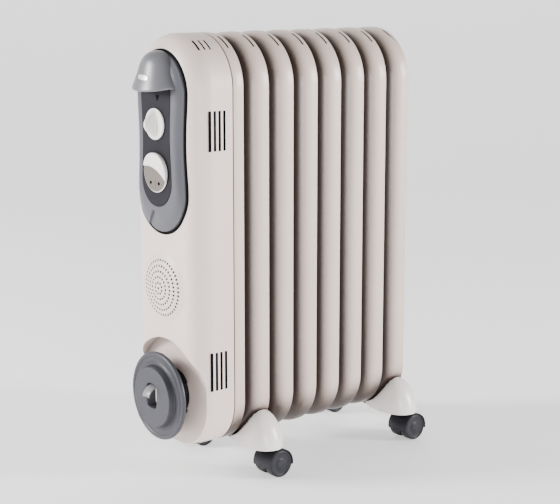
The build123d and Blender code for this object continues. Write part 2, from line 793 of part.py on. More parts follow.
def make_thermostat_knob():
    """Dial whose upper part stands proud along a slanting ledge, with two finger dimples."""
    ledge_y, ledge_z = LEDGE_SPOT
    dimple_y, dimple_z = DIMPLE_SPOT
    with BuildPart() as knob:
        with BuildSketch(across(KNOB_BACK - SKIRT)):
            with Locations((0, THERMOSTAT_Z)):
                Circle(THERMOSTAT_R)
        extrude(amount=SKIRT)
        fillet(knob.faces().sort_by(Axis.X)[0].edges(), KNOB_EDGE_R)
        with BuildSketch(across(KNOB_BACK - SKIRT)):
            with Locations((0, THERMOSTAT_Z)):
                Circle(THERMOSTAT_R - CRESCENT_MARGIN)
            with Locations((ledge_y, THERMOSTAT_Z + ledge_z)):
                Circle(LEDGE_R, mode=Mode.SUBTRACT)
        extrude(amount=CRESCENT_FRONT - KNOB_BACK + SKIRT, taper=CRESCENT_TAPER)
        with BuildSketch(across(KNOB_BACK - SKIRT)):
            with Locations((-dimple_y, THERMOSTAT_Z + dimple_z), (dimple_y, THERMOSTAT_Z + dimple_z)):
                Circle(DIMPLE_R)
        extrude(amount=DIMPLE_DEPTH, mode=Mode.SUBTRACT)
        with BuildSketch(across(KNOB_BACK)):
            with Locations((0, THERMOSTAT_Z)):
                Circle(SPINDLE_R)
        extrude(amount=-DIAL_BORE, mode=Mode.SUBTRACT)
    return knob.part


# ---------------------------------------------------------------- cord reel
def make_reel_hub():
    """Upper and lower cleats that the cord winds on, fixed in the recess."""
    back = REEL_FRONT + REEL_THICK
    open_height = 2 * CLEAT_R * cos(radians(CLEAT_REACH))
    with BuildPart() as hub:
        with BuildSketch(across(back)):
            with Locations((0, REEL_Z)):
                Circle(CLEAT_R)
                Circle(CLEAT_R - CLEAT_THICK, mode=Mode.SUBTRACT)
                Rectangle(2 * CLEAT_R, open_height, mode=Mode.SUBTRACT)
        extrude(amount=RECESS - back)
    return hub.part


def make_reel_disc():
    """Outer flange of the reel with a raised middle and an opening to park the plug."""
    band_out, band_in = REEL_BAND
    with BuildPart() as disc:
        with BuildSketch(across(REEL_FRONT)):
            with Locations((0, REEL_Z)):
                Circle(REEL_R)
        extrude(amount=REEL_THICK)
        fillet(disc.edges(), REEL_EDGE_R)
        with BuildSketch(across(REEL_FRONT)):
            with Locations((0, REEL_Z)):
                Circle(band_out)
                Circle(band_in, mode=Mode.SUBTRACT)
        extrude(amount=REEL_BAND_DEPTH, mode=Mode.SUBTRACT)
        with BuildSketch(across(REEL_FRONT)):
            with Locations((0, REEL_Z)):
                Circle(REEL_BOSS_R)
        extrude(amount=-REEL_BOSS_RISE, taper=BOSS_TAPER)
        fillet(disc.faces().sort_by(Axis.X)[0].edges(), REEL_EDGE_R)
        with BuildSketch(across(REEL_FRONT - REEL_BOSS_RISE)):
            with Locations((0, REEL_Z + HOLE_LIFT)):
                RectangleRounded(HOLE_Y, HOLE_Z, HOLE_R)
        extrude(amount=REEL_BOSS_RISE + REEL_THICK, mode=Mode.SUBTRACT)
    return disc.part


def make_plug_hook():
    """Curled tab at the opening's upper edge, which holds the plug."""
    back = REEL_FRONT + REEL_THICK
    top_z = REEL_Z + HOLE_LIFT + HOLE_Z / 2
    half = HOLE_Y / 2 - TAB_MARGIN
    bend_x, tip_x, lip_x = TAB_CURL_X
    with BuildPart() as hook:
        with BuildSketch(Plane.XZ.offset(-half)):
            with BuildLine():
                ThreePointArc((at(back), top_z - 1), (at(bend_x), top_z - 2), (at(tip_x), top_z - 10))
                Line((at(tip_x), top_z - 10), (at(lip_x), top_z - 12.5))
                ThreePointArc((at(lip_x), top_z - 12.5), (at(bend_x), top_z - 5), (at(back), top_z - 4))
                Line((at(back), top_z - 4), (at(back), top_z - 1))
            make_face()
        extrude(amount=2 * half)
        with BuildSketch(across(back)):
            with Locations((0, top_z + 2)):
                Rectangle(2 * half, TAB_ROOT)
        extrude(amount=TAB_THICK)
    return hook.part


# ---------------------------------------------------------------- feet
def foot_form(centre_x, inset):
    """Dome beside the fins with a tail that runs in under them, on the -Y side."""
    half_x = FOOT_HALF_X - inset
    reach = FOOT_REACH - inset
    rise = FOOT_RISE - inset
    dome = ellipsoid((at(centre_x), -FOOT_Y, BAR_Z), (half_x, reach, rise))
    with BuildPart() as form:
        add(dome)
        split(bisect_by=Plane.XZ.offset(FOOT_Y), keep=Keep.TOP)
        with BuildSketch(Plane.XZ.offset(FOOT_Y)):
            with Locations((at(centre_x), BAR_Z)):
                Ellipse(half_x, rise)
        extrude(amount=-(FOOT_Y - TAIL_Y))
        split(bisect_by=Plane.XY.offset(BAR_Z), keep=Keep.TOP)
        with BuildSketch(across(centre_x - FOOT_HALF_X - 5)):
            add(outline_face(-FOOT_GAP - inset))
        extrude(amount=2 * FOOT_HALF_X + 10, mode=Mode.SUBTRACT)
    return form.part


def make_foot_cover(centre_x):
    """Moulded cover over the end of a foot bar, on the -Y side."""
    outer = foot_form(centre_x, 0)
    inner = foot_form(centre_x, FOOT_WALL)
    with BuildPart() as cover:
        add(outer)
        add(inner, mode=Mode.SUBTRACT)
        with Locations((at(centre_x), 0, BAR_Z + BAR_THICK / 2)):
            Box(BAR_WIDTH + BAR_PLAY, BAR_LENGTH, BAR_THICK + BAR_PLAY, mode=Mode.SUBTRACT)
    return cover.part


def make_foot_bar(centre_x):
    """Flat steel bar across the underside of a fin."""
    with BuildPart() as bar:
        with BuildSketch(Plane.XY.offset(BAR_Z)):
            with Locations((at(centre_x), 0)):
                RectangleRounded(BAR_WIDTH, BAR_LENGTH, BAR_CORNER_R)
            with Locations((at(centre_x + BOLT_OFFSET), 0)):
                Circle(BOLT_R, mode=Mode.SUBTRACT)
            with Locations((at(centre_x), -CASTOR_Y), (at(centre_x), CASTOR_Y)):
                Circle(SOCKET_R, mode=Mode.SUBTRACT)
        extrude(amount=BAR_THICK)
    return bar.part


def make_foot_bolts():
    """Cup head bolts inside the fin rims."""
    shank_end = BAR_Z - NUT_HEIGHT - BOLT_END
    head_z = BOTTOM_Z + SHEET + BOLT_STAND
    with BuildPart() as bolts:
        for centre_x in FOOT_X:
            with BuildSketch(Plane.XY.offset(shank_end)):
                with Locations((at(centre_x + BOLT_OFFSET), 0)):
                    Circle(BOLT_R)
            extrude(amount=head_z - shank_end)
            with BuildSketch(Plane.XY.offset(head_z)):
                with Locations((at(centre_x + BOLT_OFFSET), 0)):
                    Circle(BOLT_HEAD_R)
            extrude(amount=BOLT_HEAD, taper=30)
    return bolts.part


def make_wing_nuts():
    """Wing nuts under the foot bars."""
    with BuildPart() as nuts:
        for centre_x in FOOT_X:
            with BuildSketch(Plane.XY.offset(BAR_Z)):
                with Locations((at(centre_x + BOLT_OFFSET), 0)):
                    Circle(NUT_R)
            extrude(amount=-NUT_HEIGHT, taper=6)
            with BuildSketch(Plane.XY.offset(BAR_Z - 1)):
                with Locations((at(centre_x + BOLT_OFFSET), 0)):
                    SlotOverall(*WING, rotation=90)
            extrude(amount=-NUT_HEIGHT + 1)
            with BuildSketch(Plane.XY.offset(BAR_Z)):
                with Locations((at(centre_x + BOLT_OFFSET), 0)):
                    Circle(BOLT_R)
            extrude(amount=-NUT_HEIGHT - 1, mode=Mode.SUBTRACT)
    return nuts.part


def make_castor_sockets():
    """Plain bushes in the foot bars, which the castor stems turn in."""
    flange_width, flange_thick = SOCKET_FLANGE
    with BuildPart() as sockets:
        for centre_x in FOOT_X:
            for side in (-1, 1):
                spot = (at(centre_x), side * CASTOR_Y)
                with BuildSketch(Plane.XY.offset(BAR_Z)):
                    with Locations(spot):
                        Circle(SOCKET_R)
                        Circle(STEM_R + RUNNING, mode=Mode.SUBTRACT)
                extrude(amount=SOCKET_TOP - BAR_Z)
                with BuildSketch(Plane.XY.offset(BAR_Z + BAR_THICK)):
                    with Locations(spot):
                        Circle(SOCKET_R + flange_width)
                        Circle(SOCKET_R, mode=Mode.SUBTRACT)
                extrude(amount=flange_thick)
    return sockets.part


# ---------------------------------------------------------------- castors
def make_castor_stem(centre_x, side):
    """Steel stem, fixed in the castor body, turning in the socket."""
    with BuildPart() as stem:
        with BuildSketch(Plane.XY.offset(STEM_Z)):
            with Locations((at(centre_x), side * CASTOR_Y)):
                Circle(STEM_R)
        extrude(amount=SOCKET_TOP - STEM_Z - 2)
    return stem.part


def make_castor_body(centre_x, side):
    """Hood over both wheels with the web that carries the axle and the stem."""
    wheel_x = at(centre_x + TRAIL)
    mid_y = side * CASTOR_Y
    top = BAR_Z - BODY_GAP
    boss_z = WHEEL_R + HOOD_R - BOSS_ROOT
    with BuildPart() as body:
        with BuildSketch(Plane.XZ.offset(-mid_y)):
            with Locations((wheel_x, WHEEL_R)):
                Circle(HOOD_R)
                Circle(HOOD_IN_R, mode=Mode.SUBTRACT)
            with Locations((wheel_x, WHEEL_R - HOOD_LIP - HOOD_R)):
                Rectangle(3 * HOOD_R, 2 * HOOD_R, mode=Mode.SUBTRACT)
        extrude(amount=CASTOR_HALF, both=True)
        with BuildSketch(Plane.XZ.offset(-mid_y)):
            with Locations((wheel_x, WHEEL_R)):
                Circle(HOOD_IN_R)
            with Locations((wheel_x, WHEEL_R - WEB_LIP - HOOD_R)):
                Rectangle(3 * HOOD_R, 2 * HOOD_R, mode=Mode.SUBTRACT)
        extrude(amount=WHEEL_IN - WEB_PLAY, both=True)
        with BuildSketch(Plane.XY.offset(boss_z)):
            with Locations((at(centre_x), mid_y)):
                Circle(STEM_R + STEM_BOSS)
        extrude(amount=top - boss_z)
        with BuildSketch(Plane.XY.offset(STEM_Z)):
            with Locations((at(centre_x), mid_y)):
                Circle(STEM_R)
        extrude(amount=top - STEM_Z, mode=Mode.SUBTRACT)
        with BuildSketch(Plane.XZ.offset(-mid_y)):
            with Locations((wheel_x, WHEEL_R)):
                Circle(AXLE_R + RUNNING)
        extrude(amount=CASTOR_HALF, both=True, mode=Mode.SUBTRACT)
    return body.part


def make_castor_axle(centre_x, side):
    """Steel axle pressed into both wheels."""
    with BuildPart() as axle:
        with BuildSketch(Plane.XZ.offset(-side * CASTOR_Y)):
            with Locations((at(centre_x + TRAIL), WHEEL_R)):
                Circle(AXLE_R)
        extrude(amount=WHEEL_OUT - AXLE_SHORT, both=True)
    return axle.part


def make_castor_wheels(centre_x, side):
    """Twin wheels, dished on the inside."""
    mid_y = side * CASTOR_Y
    width = WHEEL_OUT - WHEEL_IN
    with BuildPart() as wheels:
        for direction in (-1, 1):
            inner = Plane.XZ.offset(-mid_y + direction * WHEEL_IN)
            outer = Plane.XZ.offset(-mid_y + direction * WHEEL_OUT)
            with BuildSketch(inner):
                with Locations((at(centre_x + TRAIL), WHEEL_R)):
                    Circle(WHEEL_R)
            extrude(amount=direction * width)
            fillet(wheels.edges().filter_by_position(Axis.Y, *face_band(outer)), TYRE_EDGE_R)
            with BuildSketch(inner):
                with Locations((at(centre_x + TRAIL), WHEEL_R)):
                    Circle(WHEEL_R - TYRE_WALL)
                    Circle(AXLE_R + TYRE_WALL, mode=Mode.SUBTRACT)
            extrude(amount=direction * (width - TYRE_WALL), mode=Mode.SUBTRACT)
            with BuildSketch(inner):
                with Locations((at(centre_x + TRAIL), WHEEL_R)):
                    Circle(AXLE_R)
            extrude(amount=direction * (width - AXLE_SHORT), mode=Mode.SUBTRACT)
    return wheels.part


def face_band(plane):
    """Narrow band of Y round a plane that faces along Y."""
    return (plane.origin.Y - 0.01, plane.origin.Y + 0.01)


# ---------------------------------------------------------------- build and write every piece
def main():
    os.makedirs("parts", exist_ok=True)
    for number in range(1, FIN_COUNT + 1):
        save(make_fin(number), "fin_" + str(number))
    save(make_collars(), "header_collars")
    save(make_element(), "heating_element")
    save(make_element_flange(), "element_flange")
    save(make_filler_plug(), "filler_plug")

    housing_solid = housing_form(0)
    housing_hollow = housing_form(WALL, SEAM + 2)
    save(make_housing(housing_solid, housing_hollow), "housing_cover")
    save(make_posts(), "housing_posts")
    save(make_housing_screws(), "housing_screws")
    save(make_heat_shield(), "heat_shield")
    save(make_gland(), "cord_gland")

    save(make_control_body(SELECTOR_Z, SELECTOR_BODY), "selector_switch")
    save(make_spindle(SELECTOR_Z, KNOB_BACK - GRIP_BORE), "selector_spindle")
    save(make_selector_knob(), "selector_knob")
    save(make_control_body(THERMOSTAT_Z, THERMOSTAT_BODY), "thermostat_body")
    save(make_spindle(THERMOSTAT_Z, KNOB_BACK - DIAL_BORE), "thermostat_spindle")
    save(make_thermostat_knob(), "thermostat_knob")
    save(make_cutout(), "thermal_cutout")
    save(make_terminal_block(), "terminal_block")

    save(make_panel(housing_solid), "control_panel")
    save(make_fascia(), "panel_fascia")
    save(make_gasket(housing_solid), "panel_gasket")
    save(make_hood(housing_solid), "handle_hood")
    save(make_badge(), "badge_plate")

    save(make_reel_hub(), "reel_hub")
    save(make_reel_disc(), "reel_disc")
    save(make_plug_hook(), "plug_hook")

    for end, centre_x in zip(("front", "rear"), FOOT_X):
        save(make_foot_bar(centre_x), "foot_bar_" + end)
        right_cover = make_foot_cover(centre_x)
        left_cover = right_cover.mirror(Plane.XZ)
        save(right_cover, "foot_cover_" + end + "_right")
        save(left_cover, "foot_cover_" + end + "_left")
        for name, side in (("left", 1), ("right", -1)):
            place = "_" + end + "_" + name
            save(make_castor_stem(centre_x, side), "castor_stem" + place)
            save(make_castor_body(centre_x, side), "castor_body" + place)
            save(make_castor_axle(centre_x, side), "castor_axle" + place)
            save(make_castor_wheels(centre_x, side), "castor_wheels" + place)
    save(make_foot_bolts(), "foot_bolts")
    save(make_wing_nuts(), "wing_nuts")
    save(make_castor_sockets(), "castor_sockets")


main()
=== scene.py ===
import json
from math import cos, hypot, pi, radians, sin, sqrt

import bpy
import bmesh
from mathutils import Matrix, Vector


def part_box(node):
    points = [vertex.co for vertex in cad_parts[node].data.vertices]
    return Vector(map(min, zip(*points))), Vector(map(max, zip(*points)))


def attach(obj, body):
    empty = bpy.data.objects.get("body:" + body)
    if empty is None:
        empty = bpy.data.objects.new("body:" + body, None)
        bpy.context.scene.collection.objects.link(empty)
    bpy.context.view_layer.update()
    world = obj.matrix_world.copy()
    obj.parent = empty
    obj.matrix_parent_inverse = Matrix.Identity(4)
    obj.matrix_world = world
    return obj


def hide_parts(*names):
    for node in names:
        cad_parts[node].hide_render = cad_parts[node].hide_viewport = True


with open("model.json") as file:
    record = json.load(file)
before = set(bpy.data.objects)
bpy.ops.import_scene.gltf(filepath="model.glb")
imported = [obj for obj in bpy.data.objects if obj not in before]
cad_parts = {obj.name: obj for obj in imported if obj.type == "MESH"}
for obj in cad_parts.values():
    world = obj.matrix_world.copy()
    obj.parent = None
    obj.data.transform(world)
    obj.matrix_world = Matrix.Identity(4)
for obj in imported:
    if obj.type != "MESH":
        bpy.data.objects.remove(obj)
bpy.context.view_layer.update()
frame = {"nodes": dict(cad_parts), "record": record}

# Shapes are worked out in millimetres, with X counted from the housing's front face, and
# turned into metres in the frame when a mesh is made.
MM = 0.001
DOME_RISE = 10.0                # the grille's dome stands this far ahead of the front face
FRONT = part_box("housing_cover")[0][0] + DOME_RISE * MM
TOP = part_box("fin_2")[1][2] / MM
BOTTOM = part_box("fin_2")[0][2] / MM
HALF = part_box("fin_2")[1][1] / MM
SHOULDER_R = 76.0
CORNER_R = 70.0
EDGE_R = 32.0
SHOULDER_STEPS = 36
CORNER_STEPS = 24
SIDE_STEPS = 36
BODY = "radiator"


# ---------------------------------------------------------------- mesh helpers
def make_mesh(name, points, faces, sharp=35.0):
    """A mesh object from millimetre points, shaded smooth between its sharp edges."""
    mesh = bpy.data.meshes.new(name)
    mesh.from_pydata([(FRONT + x * MM, y * MM, z * MM) for x, y, z in points], [], faces)
    mesh.validate()
    piece = bpy.data.objects.new(name, mesh)
    bpy.context.scene.collection.objects.link(piece)
    tidy_mesh(piece, sharp)
    return piece


def tidy_mesh(piece, sharp=35.0):
    """Merges doubles, turns the faces outwards and marks sharp edges."""
    mesh = piece.data
    work = bmesh.new()
    work.from_mesh(mesh)
    bmesh.ops.remove_doubles(work, verts=work.verts, dist=1e-6)
    bmesh.ops.recalc_face_normals(work, faces=work.faces)
    work.to_mesh(mesh)
    work.free()
    mesh.shade_smooth()
    mesh.set_sharp_from_angle(angle=radians(sharp))


def apply_modifiers(piece, sharp=35.0):
    """Replaces the piece's mesh with its evaluated one."""
    depsgraph = bpy.context.evaluated_depsgraph_get()
    mesh = bpy.data.meshes.new_from_object(piece.evaluated_get(depsgraph))
    piece.modifiers.clear()
    piece.data = mesh
    mesh.shade_smooth()
    mesh.set_sharp_from_angle(angle=radians(sharp))


def thicken(piece, thickness, offset=-1.0, bevel=0.0, subdivide=0, sharp=35.0):
    """Gives a single surface its wall, then optional rounded edges and subdivision."""
    solid = piece.modifiers.new("wall", "SOLIDIFY")
    solid.thickness = thickness * MM
    solid.offset = offset
    solid.use_even_offset = True
    if bevel:
        add_bevel(piece, bevel)
    if subdivide:
        piece.modifiers.new("smooth", "SUBSURF").levels = subdivide
    apply_modifiers(piece, sharp)


def add_bevel(piece, width, segments=3, angle=40.0):
    """Adds a modifier that rounds the edges sharper than an angle."""
    bevel = piece.modifiers.new("edges", "BEVEL")
    bevel.width = width * MM
    bevel.segments = segments
    bevel.limit_method = "ANGLE"
    bevel.angle_limit = radians(angle)
    bevel.harden_normals = False


def grid(name, rows, closed=True, cap_first=False, cap_last=False, skip=None, sharp=35.0):
    """Quads between rows of points; closed joins each row's ends."""
    width = len(rows[0])
    points = [point for row in rows for point in row]
    faces = []
    for i in range(len(rows) - 1):
        for j in range(width if closed else width - 1):
            if skip and skip(i, j):
                continue
            k = (j + 1) % width
            faces.append((i * width + j, i * width + k, (i + 1) * width + k, (i + 1) * width + j))
    if cap_first:
        faces.append(tuple(range(width))[::-1])
    if cap_last:
        faces.append(tuple((len(rows) - 1) * width + j for j in range(width)))
    return make_mesh(name, points, faces, sharp)


def lathe(name, profile, centre, axis="X", steps=96, sharp=35.0):
    """Turns a closed (radius, along) profile about a line through centre, along X, Y or Z."""
    rows = []
    for radius, along in profile + [profile[0]]:
        row = []
        for k in range(steps):
            u = radius * cos(2 * pi * k / steps)
            v = radius * sin(2 * pi * k / steps)
            offset = {"X": (along, u, v), "Y": (u, along, v), "Z": (u, v, along)}[axis]
            row.append(tuple(c + o for c, o in zip(centre, offset)))
        rows.append(row)
    return grid(name, rows, sharp=sharp)


def join(name, pieces):
    """Joins several pieces into one object."""
    with bpy.context.temp_override(active_object=pieces[0], selected_editable_objects=pieces):
        bpy.ops.object.join()
    pieces[0].name = name
    pieces[0].data.name = name
    return pieces[0]


def ease(low, high, value):
    """Smooth step from 0 at low to 1 at high."""
    t = min(max((value - low) / (high - low), 0.0), 1.0)
    return t * t * (3 - 2 * t)


def fit(piece, body, material, nodes=()):
    """Gives a piece its material, hangs it on its body and hides the CAD nodes it replaces."""
    piece.data.materials.clear()
    piece.data.materials.append(material)
    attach(piece, body)
    if nodes:
        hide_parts(*nodes)


# ---------------------------------------------------------------- outlines
def end_outline(inset):
    """Points round the fins' end outline, moved in by inset, from the top's middle to +Y."""
    points = []

    def corner(centre_y, centre_z, radius, start, stop, steps):
        for k in range(steps + 1):
            angle = radians(start + (stop - start) * k / steps)
            points.append((centre_y + radius * sin(angle), centre_z + radius * cos(angle)))

    top_z = TOP - SHOULDER_R
    low_z = BOTTOM + CORNER_R
    corner(HALF - SHOULDER_R, top_z, SHOULDER_R - inset, 0, 90, SHOULDER_STEPS)
    for k in range(1, SIDE_STEPS):
        points.append((HALF - inset, top_z + (low_z - top_z) * k / SIDE_STEPS))
    corner(HALF - CORNER_R, low_z, CORNER_R - inset, 90, 180, CORNER_STEPS)
    corner(CORNER_R - HALF, low_z, CORNER_R - inset, 180, 270, CORNER_STEPS)
    for k in range(1, SIDE_STEPS):
        points.append((inset - HALF, low_z + (top_z - low_z) * k / SIDE_STEPS))
    corner(SHOULDER_R - HALF, top_z, SHOULDER_R - inset, 270, 360, SHOULDER_STEPS)
    return points


def depth_inside(y, z):
    """Distance from a point inwards from the end outline."""
    ends = ((SHOULDER_R, TOP - SHOULDER_R, True), (CORNER_R, BOTTOM + CORNER_R, False))
    for radius, centre_z, above in ends:
        beyond = z > centre_z if above else z < centre_z
        across = abs(y) - (HALF - radius)
        if beyond:
            if across > 0:
                return radius - hypot(across, z - centre_z)
            return radius - abs(z - centre_z)
    return HALF - abs(y)


def housing_x(y, z):
    """Front surface of the housing above the recess, with its rounded edge."""
    depth = depth_inside(y, z)
    if depth >= EDGE_R:
        return 0.0
    return EDGE_R - sqrt(max(EDGE_R ** 2 - (EDGE_R - max(depth, 0.0)) ** 2, 0.0))


PANEL_R = 60.0
PANEL_TOP = 569.0
PANEL_LOW = 425.0
PANEL_WAIST = 57.0
PANEL_EDGE = 3.2
PLATEAU_X = -10.0
PLATEAU_INSET = 23.0
PLATEAU_LIFT = 17.0             # rise of the plateau's lower end over the panel's own


def panel_outline(inset, end_steps=96, side_steps=48):
    """Waisted outline of the control panel, moved in by inset; its lower end rises inwards."""
    radius = PANEL_R - inset
    low = PANEL_LOW + PLATEAU_LIFT * ease(PANEL_EDGE, PLATEAU_INSET, inset)
    middle = (PANEL_TOP + low) / 2
    half_height = (PANEL_TOP - low) / 2
    dip = PANEL_R - PANEL_WAIST
    points = []
    for k in range(end_steps + 1):
        angle = radians(-90 + 180 * k / end_steps)
        points.append((radius * sin(angle), PANEL_TOP + radius * cos(angle)))
    for k in range(1, side_steps):
        z = PANEL_TOP + (low - PANEL_TOP) * k / side_steps
        points.append((radius - dip * (1 - ((z - middle) / half_height) ** 2) ** 2, z))
    for k in range(end_steps + 1):
        angle = radians(90 + 180 * k / end_steps)
        points.append((radius * sin(angle), low + radius * cos(angle)))
    for k in range(1, side_steps):
        z = low + (PANEL_TOP - low) * k / side_steps
        points.append((dip * (1 - ((z - middle) / half_height) ** 2) ** 2 - radius, z))
    return points


# ---------------------------------------------------------------- materials
SHADE_AND_STREAK_TINT = (0.07, 0.055, 0.05, 1)        # what painted shade in crevices and the brushed streaks multiply a colour by


def moulded(name, colour, rough=0.45, grain=900.0, bump=0.04, mottle=0.03, coat=0.0, metallic=0.0,
            painted_shade=0.0, reach=0.02, closed=0.42, streak=0.0, shine=0.5):
    """Plastic or paint: slow tone drift, fine grain in bump and roughness, painted shade in crevices.

    grain is the scale of the fine noise, mottle the depth of the slow drift; the occlusion amount darkens
    the colour as painted shade where less than closed of the sky within reach metres is open; shine scales
    the reflection.
    """
    material = bpy.data.materials.new(name)
    material.use_nodes = True
    tree = material.node_tree
    nodes = tree.nodes
    links = tree.links
    shader = nodes["Principled BSDF"]
    shader.inputs["Metallic"].default_value = metallic
    shader.inputs["Specular IOR Level"].default_value = shine
    if coat:
        shader.inputs["Coat Weight"].default_value = coat
        shader.inputs["Coat Roughness"].default_value = 0.18
    place = nodes.new("ShaderNodeTexCoord")

    drift = nodes.new("ShaderNodeTexNoise")
    drift.inputs["Scale"].default_value = 9.0
    drift.inputs["Detail"].default_value = 4.0
    links.new(place.outputs["Object"], drift.inputs["Vector"])
    tone = nodes.new("ShaderNodeValToRGB")
    tone.color_ramp.elements[0].position = 0.3
    tone.color_ramp.elements[1].position = 0.7
    tone.color_ramp.elements[0].color = (*[c * (1 - mottle) for c in colour], 1)
    tone.color_ramp.elements[1].color = (*[min(c * (1 + mottle), 1) for c in colour], 1)
    links.new(drift.outputs["Fac"], tone.inputs["Fac"])
    colour_out = tone.outputs["Color"]

    fine = nodes.new("ShaderNodeTexNoise")
    fine.inputs["Scale"].default_value = grain
    fine.inputs["Detail"].default_value = 2.0
    links.new(place.outputs["Object"], fine.inputs["Vector"])

    if streak:
        stretch = nodes.new("ShaderNodeMapping")
        stretch.inputs["Scale"].default_value = (60.0, 60.0, 2.0)
        links.new(place.outputs["Object"], stretch.inputs["Vector"])
        brush = nodes.new("ShaderNodeTexNoise")
        brush.inputs["Scale"].default_value = 8.0
        brush.inputs["Detail"].default_value = 3.0
        links.new(stretch.outputs["Vector"], brush.inputs["Vector"])
        colour_out = shade_by(tree, colour_out, brush.outputs["Fac"], streak)
    # Painted shade: ambient occlusion darkens the colour in crevices, recesses and gaps between parts.
    if painted_shade:
        hollow = nodes.new("ShaderNodeAmbientOcclusion")
        hollow.samples = 6
        hollow.inputs["Distance"].default_value = reach
        turn = nodes.new("ShaderNodeMapRange")
        turn.inputs["From Min"].default_value = closed
        turn.inputs["From Max"].default_value = 1.0
        turn.inputs["To Min"].default_value = 1.0
        turn.inputs["To Max"].default_value = 0.0
        links.new(hollow.outputs["AO"], turn.inputs["Value"])
        colour_out = shade_by(tree, colour_out, turn.outputs["Result"], painted_shade)
    links.new(colour_out, shader.inputs["Base Color"])

    gloss = nodes.new("ShaderNodeMapRange")
    gloss.inputs["From Min"].default_value = 0.3
    gloss.inputs["From Max"].default_value = 0.7
    gloss.inputs["To Min"].default_value = rough - 0.05
    gloss.inputs["To Max"].default_value = rough + 0.06
    links.new(fine.outputs["Fac"], gloss.inputs["Value"])
    links.new(gloss.outputs["Result"], shader.inputs["Roughness"])

    relief = nodes.new("ShaderNodeBump")
    relief.inputs["Strength"].default_value = bump
    relief.inputs["Distance"].default_value = 0.0004
    links.new(fine.outputs["Fac"], relief.inputs["Height"])
    links.new(relief.outputs["Normal"], shader.inputs["Normal"])
    return material


def shade_by(tree, colour, factor, amount):
    """Darkens a colour by amount where factor is high."""
    scale = tree.nodes.new("ShaderNodeMath")
    scale.operation = "MULTIPLY"
    scale.inputs[1].default_value = amount
    tree.links.new(factor, scale.inputs[0])
    mix = tree.nodes.new("ShaderNodeMix")
    mix.data_type = "RGBA"
    mix.blend_type = "MULTIPLY"
    tree.links.new(scale.outputs["Value"], mix.inputs["Factor"])
    tree.links.new(colour, mix.inputs[6])
    mix.inputs[7].default_value = SHADE_AND_STREAK_TINT
    return mix.outputs[2]


def make_materials():
    """One material for each slot; the numbers are roughness, grain, bump and mottle."""
    return {
        # The occlusion darkening in these materials is painted shade; on the fins it paints the shade in
        # the gaps between them.
        "fin_paint": moulded("fin_enamel", (0.72, 0.57, 0.50), 0.38, 700, 0.05, 0.02, coat=0.15,
                             painted_shade=1.0, reach=0.12, closed=0.70),
        "housing": moulded("housing_plastic", (0.79, 0.65, 0.60), 0.42, 1400, 0.05, 0.015,
                           painted_shade=0.7, reach=0.03),
        "foot_plastic": moulded("foot_plastic", (0.93, 0.86, 0.83), 0.32, 1200, 0.03, 0.015,
                                coat=0.2, painted_shade=0.1),
        "knob_plastic": moulded("knob_plastic", (0.92, 0.87, 0.84), 0.30, 1500, 0.02, 0.015,
                                coat=0.2, painted_shade=0.15, reach=0.01),
        # The thermostat's lower face is the knob plastic coloured dark: painted shade for the sunken face
        # under the ledge.
        "dial_grey": moulded("dial_face_painted_shade", (0.15, 0.13, 0.11), 0.4, 1500, 0.03, 0.02,
                             painted_shade=0.6, reach=0.01, shine=0.3),
        "panel_grey": moulded("panel_plastic", (0.092, 0.092, 0.106), 0.38, 1600, 0.06, 0.03,
                              painted_shade=0.8, shine=0.3),
        "fascia_grey": moulded("fascia_plastic", (0.020, 0.019, 0.024), 0.55, 1600, 0.08, 0.03,
                               painted_shade=0.8, shine=0.08),
        "hood_grey": moulded("hood_plastic", (0.145, 0.145, 0.160), 0.34, 1500, 0.04, 0.03, painted_shade=0.8),
        "badge": moulded("badge_plate", (0.72, 0.73, 0.75), 0.28, 900, 0.03, 0.03, metallic=0.3),
        "gasket": moulded("gasket_rubber", (0.004, 0.004, 0.005), 0.6, 1200, 0.08, 0.05, shine=0.03),
        "reel_grey": moulded("reel_plastic", (0.056, 0.056, 0.067), 0.36, 1500, 0.05, 0.03,
                             painted_shade=0.6, shine=0.25),
        "reel_dark": moulded("hub_plastic", (0.010, 0.010, 0.012), 0.5, 1200, 0.06, 0.04, shine=0.1),
        "hook_grey": moulded("hook_plastic", (0.24, 0.24, 0.25), 0.33, 1400, 0.04, 0.03, painted_shade=0.3),
        "castor_grey": moulded("castor_plastic", (0.024, 0.024, 0.030), 0.40, 1300, 0.06, 0.04,
                               painted_shade=0.5, shine=0.2),
        "steel": moulded("zinc_steel", (0.55, 0.55, 0.56), 0.35, 1100, 0.05, 0.05,
                         metallic=0.9, streak=0.3),
        "shield": moulded("bright_sheet", (0.75, 0.75, 0.76), 0.25, 900, 0.04, 0.03,
                          metallic=1.0, streak=0.2),
        "element": moulded("element_sheath", (0.35, 0.33, 0.30), 0.45, 1000, 0.08, 0.08,
                           metallic=0.7, streak=0.3),
        "switch_black": moulded("switch_plastic", (0.03, 0.03, 0.032), 0.48, 1300, 0.06, 0.05),
    }


# ---------------------------------------------------------------- oil fins
FIN_COUNT = 8
FIN_PITCH = 46.0
FIRST_EDGE = 86.0
RIM_WIDTH = 36.0
RIM_R = 26.0
SHEET = 0.8
SEAM = 65.5                     # rear edge of the housing
JOGGLE = 3.5                    # step of the first rim, which goes inside the housing
FIRST_RIM_R = 14.0
UPPER_Z = 580.0
LOWER_Z = 112.0
CHANNEL_Y = 34.0
CHANNEL_RISE = 8.0
HEADER_RISE = 13.0
SLOT_RINGS = (7.0, 10.0)        # shoulder slot, ahead of the free edge
SLOT_FROM = 20.0                # degrees from the top
SLOT_TO = 42.5


def pressing(y, z):
    """Height of the oil channels and header bosses over the plate."""
    along = min(max(z, LOWER_Z), UPPER_Z)
    upright = hypot(abs(y) - CHANNEL_Y, z - along)
    beside = max(abs(y) - CHANNEL_Y, 0)
    level = min(hypot(beside, z - UPPER_Z), hypot(beside, z - LOWER_Z))
    boss = min(hypot(y, z - UPPER_Z), hypot(y, z - LOWER_Z))
    channel = CHANNEL_RISE * (1 - ease(7.5, 14.0, min(upright, level)))
    return max(channel, HEADER_RISE * (1 - ease(24.5, 31.0, boss)))


